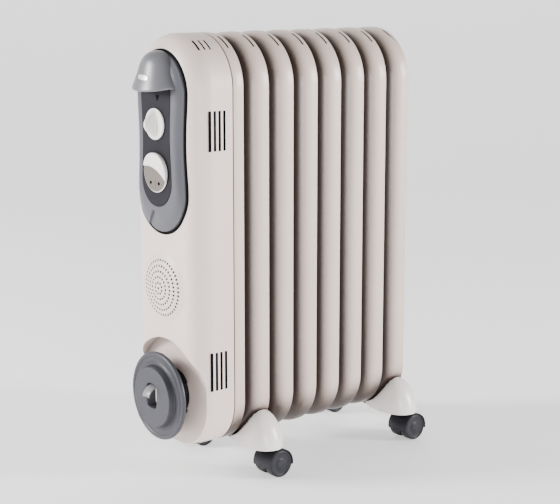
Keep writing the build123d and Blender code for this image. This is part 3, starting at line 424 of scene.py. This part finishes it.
def rim_profile():
    """(ahead of the free edge, inset) from the hem round the edge and the bend to the plate."""
    hem = [(1.9, 4.6), (1.0, 4.5), (0.35, 3.9), (0.0, 3.0), (0.0, 1.6), (0.25, 0.75), (0.85, 0.2),
           (1.8, 0.0)]
    flat = [(4.0, 0.0), (SLOT_RINGS[0], 0.0), (SLOT_RINGS[1], 0.0)]
    bend = [(RIM_WIDTH - RIM_R + RIM_R * sin(radians(a)), RIM_R * (1 - cos(radians(a))))
            for a in range(8, 91, 6)]
    return hem + flat + bend


def plate_rows(plate_x, first_inset, ring_gap, direction):
    """Rings across a plate from its bend to the middle; direction -1 presses to the front."""
    rows = []
    inset = first_inset
    while inset < CORNER_R - 4:
        rows.append([(plate_x + direction * pressing(y, z), y, z) for y, z in end_outline(inset)])
        inset += ring_gap
    middle = end_outline(inset - ring_gap)
    for k in (0.75, 0.5, 0.25, 0.0):
        rows.append([(plate_x + direction * pressing(y * k, z), y * k, z) for y, z in middle])
    return rows


def make_fin(number, ring_gap):
    """One pressed fin: hemmed edge, rim, bend and the two sheets of its plate."""
    edge = FIRST_EDGE + FIN_PITCH * (number - 1)
    plate_x = edge - RIM_WIDTH
    if number == 1:
        profile = [(ahead, inset) for ahead, inset in rim_profile() if inset < 5 and ahead < 12]
        step_x = edge - SEAM
        profile += [(step_x - 2.6, 0.0), (step_x - 1.9, 0.35), (step_x - 1.6, 1.0), (step_x - 1.6, JOGGLE)]
        flat_end = RIM_WIDTH - FIRST_RIM_R
        profile += [(flat_end + FIRST_RIM_R * sin(radians(a)), JOGGLE + FIRST_RIM_R * (1 - cos(radians(a))))
                    for a in range(0, 91, 10)]
    else:
        profile = rim_profile()
    slot_row = [k for k, point in enumerate(profile) if point[0] == SLOT_RINGS[0]][0]
    rows = [[(edge - ahead, y, z) for y, z in end_outline(inset)] for ahead, inset in profile]
    rows += plate_rows(plate_x, profile[-1][1] + ring_gap, ring_gap, -1)
    width = len(rows[0])
    step = 90 / SHOULDER_STEPS

    def in_slot(i, j):
        if i != slot_row:
            return False
        return SLOT_FROM <= j * step < SLOT_TO or SLOT_FROM <= (width - 2 - j) * step < SLOT_TO

    front = grid("fin_%d_pressing" % number, rows, skip=in_slot)
    thicken(front, SHEET, offset=-1.0)
    back = grid("back_sheet", plate_rows(plate_x + 2 * SHEET, RIM_R + 1, ring_gap, 1))
    thicken(back, SHEET, offset=-1.0)
    return join("fin_%d_pressing" % number, [front, back])


# ---------------------------------------------------------------- control panel
SCOOP_Y = 10.0                  # apex of the scoop below the plateau
SCOOP_Z = 401.0
SCOOP_DEPTH = 3.2
FLANK_RISE = 8.0


def flank_height(inset):
    """Height of the panel's flank over the housing, from its outer edge to the plateau."""
    return 0.5 + FLANK_RISE * ease(PANEL_EDGE - 8, PLATEAU_INSET + 1, inset)


def scoop(y, z):
    """Depth of the arrow-shaped scoop in the panel's lower end, steep along its +Y side."""
    drop = SCOOP_Z - z
    if drop <= 0:
        return 0.0
    steep = SCOOP_Y + 0.85 * drop
    faint = SCOOP_Y - 1.05 * drop
    across = min(max((y - faint) / (steep - faint), 0.0), 1.0)
    return SCOOP_DEPTH * across * (1 - ease(steep - 1.6, steep, y)) * (1 - ease(18.0, 33.0, drop))


def panel_point(y, z, height):
    """Point of the panel at a height over the housing, lowered by the scoop."""
    base = housing_x(y, z)
    return (base - height + scoop(y, z), y, z)


def make_panel():
    """Grey surround: thin outer edge, sloping flank, and a step where the fascia starts."""
    rows = []
    outline = panel_outline(PANEL_EDGE)
    rows.append([(housing_x(y, z) + 0.5, y, z) for y, z in outline])
    rows.append([panel_point(y, z, 0.4) for y, z in outline])
    rows.append([panel_point(y, z, 1.0) for y, z in panel_outline(PANEL_EDGE + 0.5)])
    steps = 44
    for k in range(1, steps + 1):
        inset = PANEL_EDGE + 0.5 + (PLATEAU_INSET - PANEL_EDGE - 0.5) * k / steps
        blend = ease(0, 1, k / steps)
        row = []
        for y, z in panel_outline(inset):
            sloped = panel_point(y, z, 0.8 + flank_height(inset))[0]
            level = PLATEAU_X + 0.6 + scoop(y, z)
            row.append((sloped * (1 - blend) + level * blend, y, z))
        rows.append(row)
    rows.append([(PLATEAU_X + 0.5, y, z) for y, z in panel_outline(PLATEAU_INSET + 0.6)])
    rows.append([(PLATEAU_X + 1.4, y, z) for y, z in panel_outline(PLATEAU_INSET + 1.0)])
    rows.append([(PLATEAU_X + 1.6, y, z) for y, z in panel_outline(PLATEAU_INSET + 4.0)])
    return grid("panel_surround", rows, sharp=50)


def make_fascia():
    """Dark insert of the plateau with a softly rounded border."""
    rows = []
    border = ((1.1, 1.2), (1.1, 0.5), (1.4, 0.15), (2.0, 0.0), (6.0, 0.0), (14.0, 0.0), (22.0, 0.0))
    for inset, drop in border:
        outline = panel_outline(PLATEAU_INSET + inset)
        rows.append([(PLATEAU_X + drop, y, z) for y, z in outline])
    return grid("panel_insert", rows, cap_last=True, sharp=50)


def make_gasket():
    """Black bead round the panel, a little proud of the housing."""
    rows = []
    bead = ((-0.6, -0.2), (-0.2, 0.7), (0.6, 1.2), (1.8, 1.3), (PANEL_EDGE, 0.9), (PANEL_EDGE + 0.6, -0.3))
    for inset, height in bead:
        rows.append([(housing_x(y, z) - height, y, z) for y, z in panel_outline(inset)])
    return grid("panel_seal", rows)


def make_index(name, centre_y, centre_z, half_width, height, x):
    """Small black pointer, its tip downwards."""
    top_z = centre_z + height / 2
    points = []
    for drop in (0.0, 0.7):
        points += [(x + drop, centre_y - half_width, top_z), (x + drop, centre_y + half_width, top_z),
                   (x + drop, centre_y, top_z - height)]
    faces = [(0, 1, 2), (5, 4, 3), (0, 3, 4, 1), (1, 4, 5, 2), (2, 5, 3, 0)]
    mark = make_mesh(name, points, faces)
    add_bevel(mark, 0.25, 2)
    apply_modifiers(mark)
    return mark


HOOD_X = -2.0
HOOD_Z = 573.0
HOOD_AXES = (35.0, 45.0, 52.0)
HOOD_WALL = 2.8
HOOD_PINCH = 0.125              # how far the hood's sides draw in below the crown
HOOD_FULLNESS = 0.86
BADGE_TURN = -2.0               # centre and half size of the badge, in degrees round the hood
BADGE_LIFT = 20.6
BADGE_HALF = (19.5, 3.9)


def hood_point(turn, lift, shrink=0.0):
    """Point on the hood: turn from -90 to 90 degrees round it, lift from rim to crown."""
    reach, half, rise = (axis - shrink for axis in HOOD_AXES)
    flat = cos(lift) ** HOOD_FULLNESS * (1 - HOOD_PINCH * sin(pi * sin(lift)) ** 1.3)
    out = reach * flat * abs(cos(turn)) ** HOOD_FULLNESS
    side = half * flat * sin(turn)
    up = rise * sin(lift) ** 1.05
    droop = (3.0 * cos(turn) ** 2 - 1.6 * sin(turn) ** 4) * cos(lift) ** 6
    return (HOOD_X - out, side, HOOD_Z + up + 2.0 - droop)


def make_hood():
    """Grip hood: a smooth quarter shell with a rolled lower rim, open underneath."""
    rows = []
    turns = [radians(-90 + 180 * k / 72) for k in range(73)]
    for shrink, drop in ((HOOD_WALL, 0.0), (HOOD_WALL - 0.5, -0.8), (HOOD_WALL / 2, -1.2), (0.5, -0.8)):
        row = []
        for turn in turns:
            x, y, z = hood_point(turn, 0.0, shrink)
            row.append((x, y, z + drop))
        rows.append(row)
    inner = []
    steps = 40
    for k in range(steps, 0, -1):
        inner.append([hood_point(turn, radians(89.0) * k / steps, HOOD_WALL) for turn in turns])
    outer = [[hood_point(turn, radians(89.4) * k / steps) for turn in turns] for k in range(steps + 1)]
    return grid("grip_hood", inner + rows + outer, closed=False, sharp=60)


def make_badge():
    """Blank plate with rounded ends that follows the front of the hood."""
    rows = []
    for scale, proud in ((1.0, -0.4), (1.0, 0.3), (0.94, 0.7), (0.8, 0.8), (0.5, 0.8), (0.15, 0.8)):
        row = []
        for k in range(40):
            a = 2 * pi * k / 40
            wide = abs(cos(a)) ** 0.7 * (1 if cos(a) > 0 else -1)
            high = abs(sin(a)) ** 0.7 * (1 if sin(a) > 0 else -1)
            across = radians(BADGE_HALF[0]) * scale * wide
            turn = radians(BADGE_TURN) + across
            lift = radians(BADGE_LIFT) + radians(BADGE_HALF[1]) * scale * high + 0.07 * across
            row.append(hood_point(turn, lift, -proud))
        rows.append(row)
    return grid("blank_badge", rows, cap_last=True, sharp=50)


# ---------------------------------------------------------------- vents
LOUVRE_X = (26.0, 34.4, 42.7, 51.0)
LOUVRE_Z = (517.0, 171.0)
LOUVRE_HEIGHT = 55.7
LOUVRE_WIDTH = 3.6
TOP_SLOT_X = (26.5, 36.0, 45.5)
SLOT_WIDTH = 3.0
SHADE_SHEET_LAP = 0.3                # past the louvre's edge
SHADE_SHEET_PROUD = 0.08
WALL = 2.4
SLOT_SUNK = 0.45                # top shade sheets below the housing's surface
SLOT_GAP = 0.15
GRILLE_Z = 286.5
GRILLE_RINGS = ((8.0, 9), (16.0, 18), (24.0, 26), (32.0, 34), (40.0, 42))
HOLE_SHADE_R = 1.95
DOME_R = 50.0
DOME_BALL_R = (DOME_R ** 2 + DOME_RISE ** 2) / (2 * DOME_RISE)


def make_louvre_shade_sheets():
    """Black sheets that fill the louvres and slots at the housing's surface: painted shade for the dark
    openings.
    """
    shade_sheets = []
    half_x = LOUVRE_WIDTH / 2 + SHADE_SHEET_LAP
    half_z = LOUVRE_HEIGHT / 2 + SHADE_SHEET_LAP
    corners = ((-1, -1), (1, -1), (1, 1), (-1, 1))
    for x in LOUVRE_X:
        for z in LOUVRE_Z:
            for side in (-1, 1):
                ends = [[(x + u * half_x, side * y, z + v * half_z) for u, v in corners]
                        for y in (HALF + SHADE_SHEET_PROUD, HALF - WALL)]
                shade_sheets.append(grid("shade_sheet", ends, cap_first=True, cap_last=True))
    for x in TOP_SLOT_X:
        for start, stop, low in ((28, 44, False), (18, 32, True)):
            for side in (-1, 1):
                rows = []
                radius = (CORNER_R if low else SHOULDER_R) - SLOT_SUNK
                centre_z = BOTTOM + CORNER_R if low else TOP - SHOULDER_R
                for k in range(9):
                    a = radians(start + SLOT_GAP + (stop - start - 2 * SLOT_GAP) * k / 8)
                    row = []
                    for r, u in ((radius, -1), (radius, 1), (radius - 2, 1), (radius - 2, -1)):
                        y = side * (HALF - radius - SLOT_SUNK + r * sin(a))
                        z = centre_z + (-1 if low else 1) * r * cos(a)
                        row.append((x + u * (SLOT_WIDTH / 2 - SLOT_GAP), y, z))
                    rows.append(row)
                shade_sheets.append(grid("shade_sheet", rows, cap_first=True, cap_last=True))
    return join("vent_shade_sheets", shade_sheets)


def make_grille_hole_shades():
    """Black disc sunk in each hole of the round grille: painted shade for the dark hole."""
    hole_shades = []
    for ring_r, count in ((0.0, 1),) + GRILLE_RINGS:
        dome_x = DOME_BALL_R - DOME_RISE - sqrt(DOME_BALL_R ** 2 - ring_r ** 2)
        below = 0.45 * ring_r / DOME_R - 0.1
        for k in range(count):
            a = 2 * pi * k / count
            centre = (dome_x + below, ring_r * cos(a), GRILLE_Z + ring_r * sin(a))
            profile = [(0.01, 0.0), (HOLE_SHADE_R, 0.0), (HOLE_SHADE_R, 1.0), (0.01, 1.0)]
            hole_shades.append(lathe("hole_shade", profile, centre, steps=10))
    return join("grille_hole_shades", hole_shades)


# ---------------------------------------------------------------- knobs
KNOB_BACK = -10.4
SELECTOR_Z = 524.0
SELECTOR_R = 22.5
THERMOSTAT_Z = 455.0
THERMOSTAT_R = 28.5
FACE_R = 27.7
WELL_Y = 10.0
WELL_Z = 440.0


def knob_face(name, centre_z, radius, height, edge=1.6, rings=44, steps=128):
    """Round knob whose front is a height field, with a rolled edge and a flat back."""
    rows = []
    rows.append([(KNOB_BACK, 0.0, centre_z) for _ in range(steps)])
    for r, back in ((radius - 1.2, 0.0), (radius - 0.3, 0.3), (radius, 1.0)):
        rows.append([(KNOB_BACK - back, r * sin(2 * pi * k / steps), centre_z + r * cos(2 * pi * k / steps))
                     for k in range(steps)])
    for i in range(rings, 0, -1):
        fraction = i / rings
        r = radius * (1 - (1 - fraction) ** 1.35)
        row = []
        for k in range(steps):
            y = r * sin(2 * pi * k / steps)
            z = r * cos(2 * pi * k / steps)
            short = max(r - (radius - edge), 0.0)
            fall = edge - sqrt(max(edge ** 2 - short ** 2, 0.0))
            row.append((KNOB_BACK - max(height(y, z) - fall, 1.0), y, centre_z + z))
        rows.append(row)
    rows.append([(KNOB_BACK - height(0, 0), 0.0, centre_z) for _ in range(steps)])
    return grid(name, rows, sharp=45)


def selector_height(y, z):
    """Skirt with an upright pinch grip that rises to a nose in the middle."""
    skirt = 2.8 + 0.8 * (1 - (hypot(y, z) / SELECTOR_R) ** 2)
    crown = max(1 - (z / 21.5) ** 2, 0.0) ** 1.6
    waist = 3.2 + 1.6 * (z / 21.5) ** 2
    wall = 1 - ease(waist - 1.6, waist + 3.6, abs(y))
    return skirt + 15.6 * crown * wall


def dial_face_height(y, z):
    """Low face of the thermostat dial, with a faint rib between its two wells."""
    rib = 0.8 * (1 - ease(1.0, 3.0, abs(y))) * (1 - ease(6, 10, abs(z + 16)))
    return 2.4 + 0.5 * (1 - (hypot(y, z) / THERMOSTAT_R) ** 2) + rib


def dial_ledge_height(y, z):
    """Raised upper part of the dial; below its slanting ledge it lies under the low face."""
    across = hypot(y - 18.3, z + 53.8) - 62.3
    rise = 2.6 + 1.8 * ease(0, 20, across)
    return 2.0 + rise * ease(-1.0, 1.0, across)


def make_dimples():
    """Two small shallow wells in the thermostat's lower face, coloured black as painted shade for holes."""
    wells = []
    for side in (-1, 1):
        profile = [(0.01, 0.0), (2.3, 0.0), (2.3, -0.55), (1.9, -0.7), (1.7, -0.15), (0.01, -0.1)]
        wells.append(lathe("well", profile, (KNOB_BACK - 2.6, side * WELL_Y, WELL_Z), steps=28))
    return join("thermostat_wells", wells)


# ---------------------------------------------------------------- cord reel
REEL_Z = 126.0
REEL_R = 65.5
REEL_FRONT = -15.5
REEL_BACK = -9.5
BOSS_R = 45.2                   # raised middle of the disc
BOSS_RISE = 9.5
RECESS_X = 18.1                 # floor of the recess behind the disc
CLEAT_R = 35.0
CLEAT_REACH = 55                # degrees each way
CLEAT_WALL = 3.0
TAB_HALF = 9.0
TAB_WALL = 2.6
HOLE_Y = 24.0
HOLE_Z = 36.0
HOLE_LIFT = 2.0


def rounded_box_radius(angle, half_y, half_z, power=5.0):
    """Distance from the centre to a squared-off oval in a given direction."""
    return (abs(sin(angle) / half_y) ** power + abs(cos(angle) / half_z) ** power) ** (-1 / power)


def disc_front(r):
    """Front of the disc: rolled rim, shallow outer band and a raised middle."""
    boss = BOSS_RISE * (1 - ease(BOSS_R - 1.8, BOSS_R + 1.8, r))
    band = 0.8 * (ease(50.0, 51.0, r) - ease(58.0, 59.5, r))
    rim = max(r - 62.5, 0.0)
    return REEL_FRONT + band - boss + 3.0 - sqrt(max(9.0 - rim ** 2, 0.0))


def make_disc():
    """Reel disc with its plug opening, lathed bands and rolled rim."""
    steps = 144
    angles = [2 * pi * k / steps for k in range(steps)]
    rows = []

    def ring(r_of, x_of, lift=0.0):
        rows.append([(x_of(r_of(a)), r_of(a) * sin(a), REEL_Z + lift + r_of(a) * cos(a)) for a in angles])

    def hole(a, grow=0.0):
        return rounded_box_radius(a, HOLE_Y / 2 + grow, HOLE_Z / 2 + grow)

    ring(lambda a: hole(a), lambda r: REEL_BACK, HOLE_LIFT)
    ring(lambda a: hole(a), lambda r: disc_front(r) + 1.0, HOLE_LIFT)
    ring(lambda a: hole(a, 0.4), lambda r: disc_front(r) + 0.3, HOLE_LIFT)
    ring(lambda a: hole(a, 1.0), disc_front, HOLE_LIFT)
    middle = (22, 26, 30, 34, 38, 41, 42.6)
    shoulder = (43.2, 43.7, 44.2, 44.7, 45.2, 45.7, 46.2, 46.7, 47.2)
    band = (48.5, 50, 50.5, 51, 54, 58, 58.5, 59, 59.5)
    rim = (61.5, 62.5, 63.4, 64.2, 64.9, 65.3)
    for r in middle + shoulder + band + rim:
        ring(lambda a: max(r, hole(a, 1.5)), disc_front, HOLE_LIFT * (1 - ease(22, 40, r)))
    ring(lambda a: REEL_R, lambda r: REEL_FRONT + 3.5)
    ring(lambda a: REEL_R - 0.4, lambda r: REEL_BACK - 0.6)
    ring(lambda a: REEL_R - 1.4, lambda r: REEL_BACK)
    ring(lambda a: hole(a), lambda r: REEL_BACK, HOLE_LIFT)
    return grid("reel_flange", rows, sharp=40)


def make_cleats():
    """Upper and lower curved cleats behind the disc, with a rolled foot on the recess."""
    cleats = []
    for middle in (0, 180):
        rows = []
        for k in range(33):
            a = radians(middle - CLEAT_REACH + 2 * CLEAT_REACH * k / 32)
            section = [(CLEAT_R - CLEAT_WALL, REEL_BACK + 0.2), (CLEAT_R, REEL_BACK + 0.2), (CLEAT_R, 15.0),
                       (CLEAT_R + 0.8, 17.0), (CLEAT_R + 2.2, RECESS_X), (CLEAT_R - CLEAT_WALL, RECESS_X)]
            rows.append([(x, r * sin(a), REEL_Z + r * cos(a)) for r, x in section])
        cleats.append(grid("cleat", rows, cap_first=True, cap_last=True))
    base = [(0.01, 17.0), (CLEAT_R - 1, 17.0), (CLEAT_R - 1, RECESS_X), (0.01, RECESS_X)]
    cleats.append(lathe("base", base, (0.0, 0.0, REEL_Z)))
    return join("reel_cleats", cleats)


def make_hook():
    """Curled tab that comes out of the opening over the parked plug."""
    rows = []
    path = [(-9.5, 18.4), (-16.0, 18.4), (-22.0, 17.8), (-27.0, 16.0), (-31.0, 13.2), (-34.0, 9.6),
            (-35.8, 5.4), (-36.0, 2.8)]
    for k, (x, rise) in enumerate(path):
        fraction = k / (len(path) - 1)
        width = TAB_HALF * (1 - 0.12 * fraction ** 2)
        row = []
        for j in range(13):
            t = -1 + 2 * j / 12
            sag = 1.3 * t * t * (0.3 + 0.7 * fraction)
            row.append((x + 0.25 * sag, width * t, REEL_Z + rise - sag))
        rows.append(row)
    hook = grid("plug_tab", rows, closed=False)
    thicken(hook, TAB_WALL, bevel=0.8, subdivide=1, sharp=60)
    return hook


# ---------------------------------------------------------------- feet
FOOT_Y = 74.0
FOOT_REACH = 40.0
FOOT_HALF_X = 28.5
FOOT_RISE = 54.0
TAIL_Y = 24.0
FOOT_BASE = 44.0
FOOT_WALL = 2.2
FOOT_X = (("front", 118.0), ("rear", 395.0))


def fin_underside(y, gap):
    """Height of the fins' lower outline at y."""
    across = max(abs(y) - (HALF - CORNER_R), 0.0)
    radius = CORNER_R + gap
    if across >= radius:
        return BOTTOM + CORNER_R
    return BOTTOM + CORNER_R - sqrt(radius ** 2 - across ** 2)


def foot_section(y):
    """Half width and rise of the cover at a distance y across."""
    if y <= FOOT_Y:
        inward = (FOOT_Y - y) / (FOOT_Y - TAIL_Y)
        return FOOT_HALF_X * (1 - 0.42 * inward ** 2.2), FOOT_RISE
    out = (y - FOOT_Y) / FOOT_REACH
    round_off = max(1 - out ** 2.3, 0.0) ** (1 / 2.0)
    return FOOT_HALF_X * round_off, FOOT_RISE * max(1 - out ** 1.9, 0.0) ** (1 / 1.8)


def make_foot(name, centre_x, side):
    """Smooth domed cover with its tail; the top follows the fins' underside."""
    rows = []
    steps = 40
    stations = [TAIL_Y + (FOOT_Y - TAIL_Y) * k / 14 for k in range(14)]
    stations += [FOOT_Y + FOOT_REACH * sin(radians(90 * k / 26)) for k in range(27)]
    for y in stations:
        half_x, rise = foot_section(y)
        half_x = max(half_x, 0.05)
        rise = max(rise, 0.05)
        cut = fin_underside(y, 0.6) if y < HALF + 0.6 else FOOT_BASE + 200
        row = []
        for j in range(steps + 1):
            a = pi * j / steps
            z = FOOT_BASE + rise * sin(a) ** 0.92
            row.append((centre_x - half_x * abs(cos(a)) ** 0.85 * (1 if cos(a) > 0 else -1), side * y,
                        min(z, cut - 0.4)))
        rows.append(row)
    cover = grid(name, rows, closed=False, sharp=50)
    thicken(cover, FOOT_WALL, offset=-1.0 if side < 0 else 1.0, sharp=50)
    return cover


# ---------------------------------------------------------------- castors
WHEEL_R = 20.5
TRAIL = 9.0                     # axle behind the stem
CASTOR_Y = 94.0
GUARD_R = 22.5                  # hood over the wheels
GUARD_INNER_R = 21.3


def make_wheels(name, centre_x, side):
    """Twin wheels: rounded tread, dished outer face with a hub cap."""
    wheels = []
    for out in (-1, 1):
        profile = [(2.5, 5.6), (18.6, 5.6), (20.1, 6.3), (WHEEL_R, 7.6), (WHEEL_R, 17.2), (20.1, 18.5),
                   (19.0, 19.3), (17.8, 19.4), (17.2, 18.9), (16.6, 18.5), (9.0, 18.2), (8.2, 18.5),
                   (7.6, 18.9), (6.0, 19.2), (2.5, 19.35), (0.05, 19.4), (0.05, 14.0), (2.5, 14.0)]
        centre = (centre_x + TRAIL, side * CASTOR_Y, WHEEL_R)
        wheels.append(lathe("wheel", [(r, out * y) for r, y in profile], centre, axis="Y", steps=72))
    return join(name, wheels)


def make_castor_body(name, centre_x, side):
    """Hood over the wheels, an axle web and the stem boss, with rounded edges."""
    mid_y = side * CASTOR_Y
    wheel_x = centre_x + TRAIL
    parts = []
    section = [(GUARD_R, -19.2), (GUARD_R - 0.5, -20.0), (GUARD_INNER_R, -20.0), (GUARD_INNER_R, 20.0),
               (GUARD_R - 0.5, 20.0), (GUARD_R, 19.2)]
    rows = []
    for k in range(49):
        a = radians(-12 + 204 * k / 48)
        rows.append([(wheel_x + r * cos(a), mid_y + y, WHEEL_R + r * sin(a)) for r, y in section])
    parts.append(grid("hood", rows, cap_first=True, cap_last=True))
    web = []
    for k in range(49):
        a = radians(-25 + 230 * k / 48)
        web.append((wheel_x + 21.4 * cos(a), WHEEL_R + 21.4 * sin(a)))
    for k in range(1, 12):
        a = radians(205 + 130 * k / 12)
        web.append((wheel_x + 9.0 * cos(a), WHEEL_R - 1.5 + 9.0 * sin(a)))
    plate = grid("web", [[(x, mid_y - 5.0, z) for x, z in web], [(x, mid_y + 5.0, z) for x, z in web]],
                 cap_first=True, cap_last=True)
    parts.append(plate)
    boss = [(3.55, 34.0), (5.2, 34.0), (5.2, 42.6), (4.6, 43.2), (3.55, 43.2)]
    parts.append(lathe("boss", boss, (centre_x, mid_y, 0.0), axis="Z", steps=40))
    return join(name, parts)


# ---------------------------------------------------------------- putting the pieces together
materials = make_materials()


def slot_material(node):
    """Material slot that the record gives a CAD node."""
    for entry in frame["record"]["subparts"]:
        if entry["node"] == node:
            return entry["material_slot"]
    return "steel"


def dress_cad():
    """Gives every carried-over CAD node the material of its slot."""
    for node, piece in frame["nodes"].items():
        material = materials[slot_material(node)]
        for index in range(len(piece.material_slots)):
            piece.material_slots[index].material = material


dress_cad()
for number in range(1, FIN_COUNT + 1):
    gap = 2.5 if number == FIN_COUNT else 6.0
    fit(make_fin(number, gap), BODY, materials["fin_paint"], ["fin_%d" % number])
fit(make_panel(), BODY, materials["panel_grey"], ["control_panel"])
fit(make_fascia(), BODY, materials["fascia_grey"], ["panel_fascia"])
fit(make_gasket(), BODY, materials["gasket"], ["panel_gasket"])
fit(make_index("selector_index", -5.0, 560.5, 4.4, 9.0, PLATEAU_X - 0.4), BODY,
    materials["gasket"])
fit(make_hood(), BODY, materials["hood_grey"], ["handle_hood"])
fit(make_badge(), BODY, materials["badge"], ["badge_plate"])
fit(knob_face("selector_grip", SELECTOR_Z, SELECTOR_R, selector_height), "selector",
    materials["knob_plastic"], ["selector_knob"])
fit(knob_face("thermostat_dial", THERMOSTAT_Z, THERMOSTAT_R, dial_ledge_height), "thermostat",
    materials["knob_plastic"], ["thermostat_knob"])
# Its dark colour is painted shade for the sunken face below the ledge.
fit(knob_face("thermostat_face", THERMOSTAT_Z, FACE_R, dial_face_height), "thermostat",
    materials["dial_grey"])
# Black wells: painted shade for the dark of two holes.
fit(make_dimples(), "thermostat", materials["gasket"])
# Black sheets in the louvres and slots: painted shade for the dark openings.
fit(make_louvre_shade_sheets(), BODY, materials["gasket"])
# Black discs in the grille holes: painted shade for the dark holes.
fit(make_grille_hole_shades(), BODY, materials["gasket"])
fit(make_disc(), BODY, materials["reel_grey"], ["reel_disc"])
fit(make_cleats(), BODY, materials["reel_dark"], ["reel_hub"])
fit(make_hook(), BODY, materials["hook_grey"], ["plug_hook"])
for end, centre_x in FOOT_X:
    for name, side in (("left", 1), ("right", -1)):
        place = end + "_" + name
        fit(make_foot("foot_dome_" + place, centre_x, side), BODY, materials["foot_plastic"],
            ["foot_cover_" + place])
        fit(make_wheels("wheel_pair_" + place, centre_x, side), "wheels_" + place,
            materials["castor_grey"], ["castor_wheels_" + place])
        fit(make_castor_body("castor_hood_" + place, centre_x, side), "castor_" + place,
            materials["castor_grey"], ["castor_body_" + place])


# ---------------------------------------------------------------- floor, lights and camera
FLOOR_GLOW = 0.62
AZIMUTH = 39.44                 # of the camera, degrees from +Y towards +X
PITCH = 11.01


def make_floor():
    """Pale sweep: a floor that curves up behind the heater."""
    sweep = []
    for k in range(25):
        a = radians(90 * k / 24)
        sweep.append((3.0 + 1.2 * sin(a), 1.2 - 1.2 * cos(a)))
    path = [(-4.0, 0.0)] + sweep + [(4.2, 5.0)]
    turn = radians(-39.4)
    points = []
    faces = []
    for y, z in path:
        for x in (-6.0, 6.0):
            points.append((x * cos(turn) - y * sin(turn), x * sin(turn) + y * cos(turn), z - 0.0002))
    for k in range(len(path) - 1):
        faces.append((2 * k, 2 * k + 1, 2 * k + 3, 2 * k + 2))
    mesh = bpy.data.meshes.new("floor")
    mesh.from_pydata(points, [], faces)
    mesh.shade_smooth()
    floor = bpy.data.objects.new("floor", mesh)
    bpy.context.scene.collection.objects.link(floor)
    paint = moulded("floor_paint", (0.93, 0.93, 0.93), 0.6, 40, 0.0, 0.004)
    shader = paint.node_tree.nodes["Principled BSDF"]
    shader.inputs["Emission Color"].default_value = (1, 1, 1, 1)
    shader.inputs["Emission Strength"].default_value = FLOOR_GLOW
    mesh.materials.append(paint)


def area_light(name, place, target, size, power):
    """Soft rectangular light aimed at a target."""
    data = bpy.data.lights.new(name, "AREA")
    data.shape = "RECTANGLE"
    data.size, data.size_y = size
    data.energy = power
    light = bpy.data.objects.new(name, data)
    light.location = place
    direction = Vector(target) - Vector(place)
    light.rotation_euler = direction.to_track_quat("-Z", "Y").to_euler()
    bpy.context.scene.collection.objects.link(light)


def make_world():
    """Even, weak light from all round."""
    world = bpy.data.worlds.new("studio")
    bpy.context.scene.world = world
    world.use_nodes = True
    back = world.node_tree.nodes["Background"]
    back.inputs["Color"].default_value = (1, 1, 1, 1)
    back.inputs["Strength"].default_value = 0.11


def make_camera():
    """Eye level a little above the heater, looking along +X and +Y."""
    azimuth = radians(AZIMUTH)
    pitch = radians(PITCH)
    data = bpy.data.cameras.new("camera")
    data.sensor_width = 36.0
    data.lens = 93.3
    data.clip_end = 50
    camera = bpy.data.objects.new("camera", data)
    camera.location = (FRONT - 1.1744, -1.6920, 0.7379)
    forward = Vector((sin(azimuth) * cos(pitch), cos(azimuth) * cos(pitch), -sin(pitch)))
    camera.rotation_euler = forward.to_track_quat("-Z", "Y").to_euler()
    bpy.context.scene.collection.objects.link(camera)
    bpy.context.scene.camera = camera


make_floor()
make_world()
area_light("front", (-3.0, 1.9, 1.5), (-0.2, 0, 0.35), (0.8, 1.2), 250)
area_light("side", (2.4, -2.9, 1.2), (0.1, 0, 0.3), (0.6, 1.4), 180)
area_light("fill", (-1.8, -2.4, 0.5), (-0.1, 0, 0.3), (1.0, 0.8), 52)
area_light("top", (0.2, 0.3, 3.2), (0, 0, 0.3), (2.4, 2.4), 14)
make_camera()
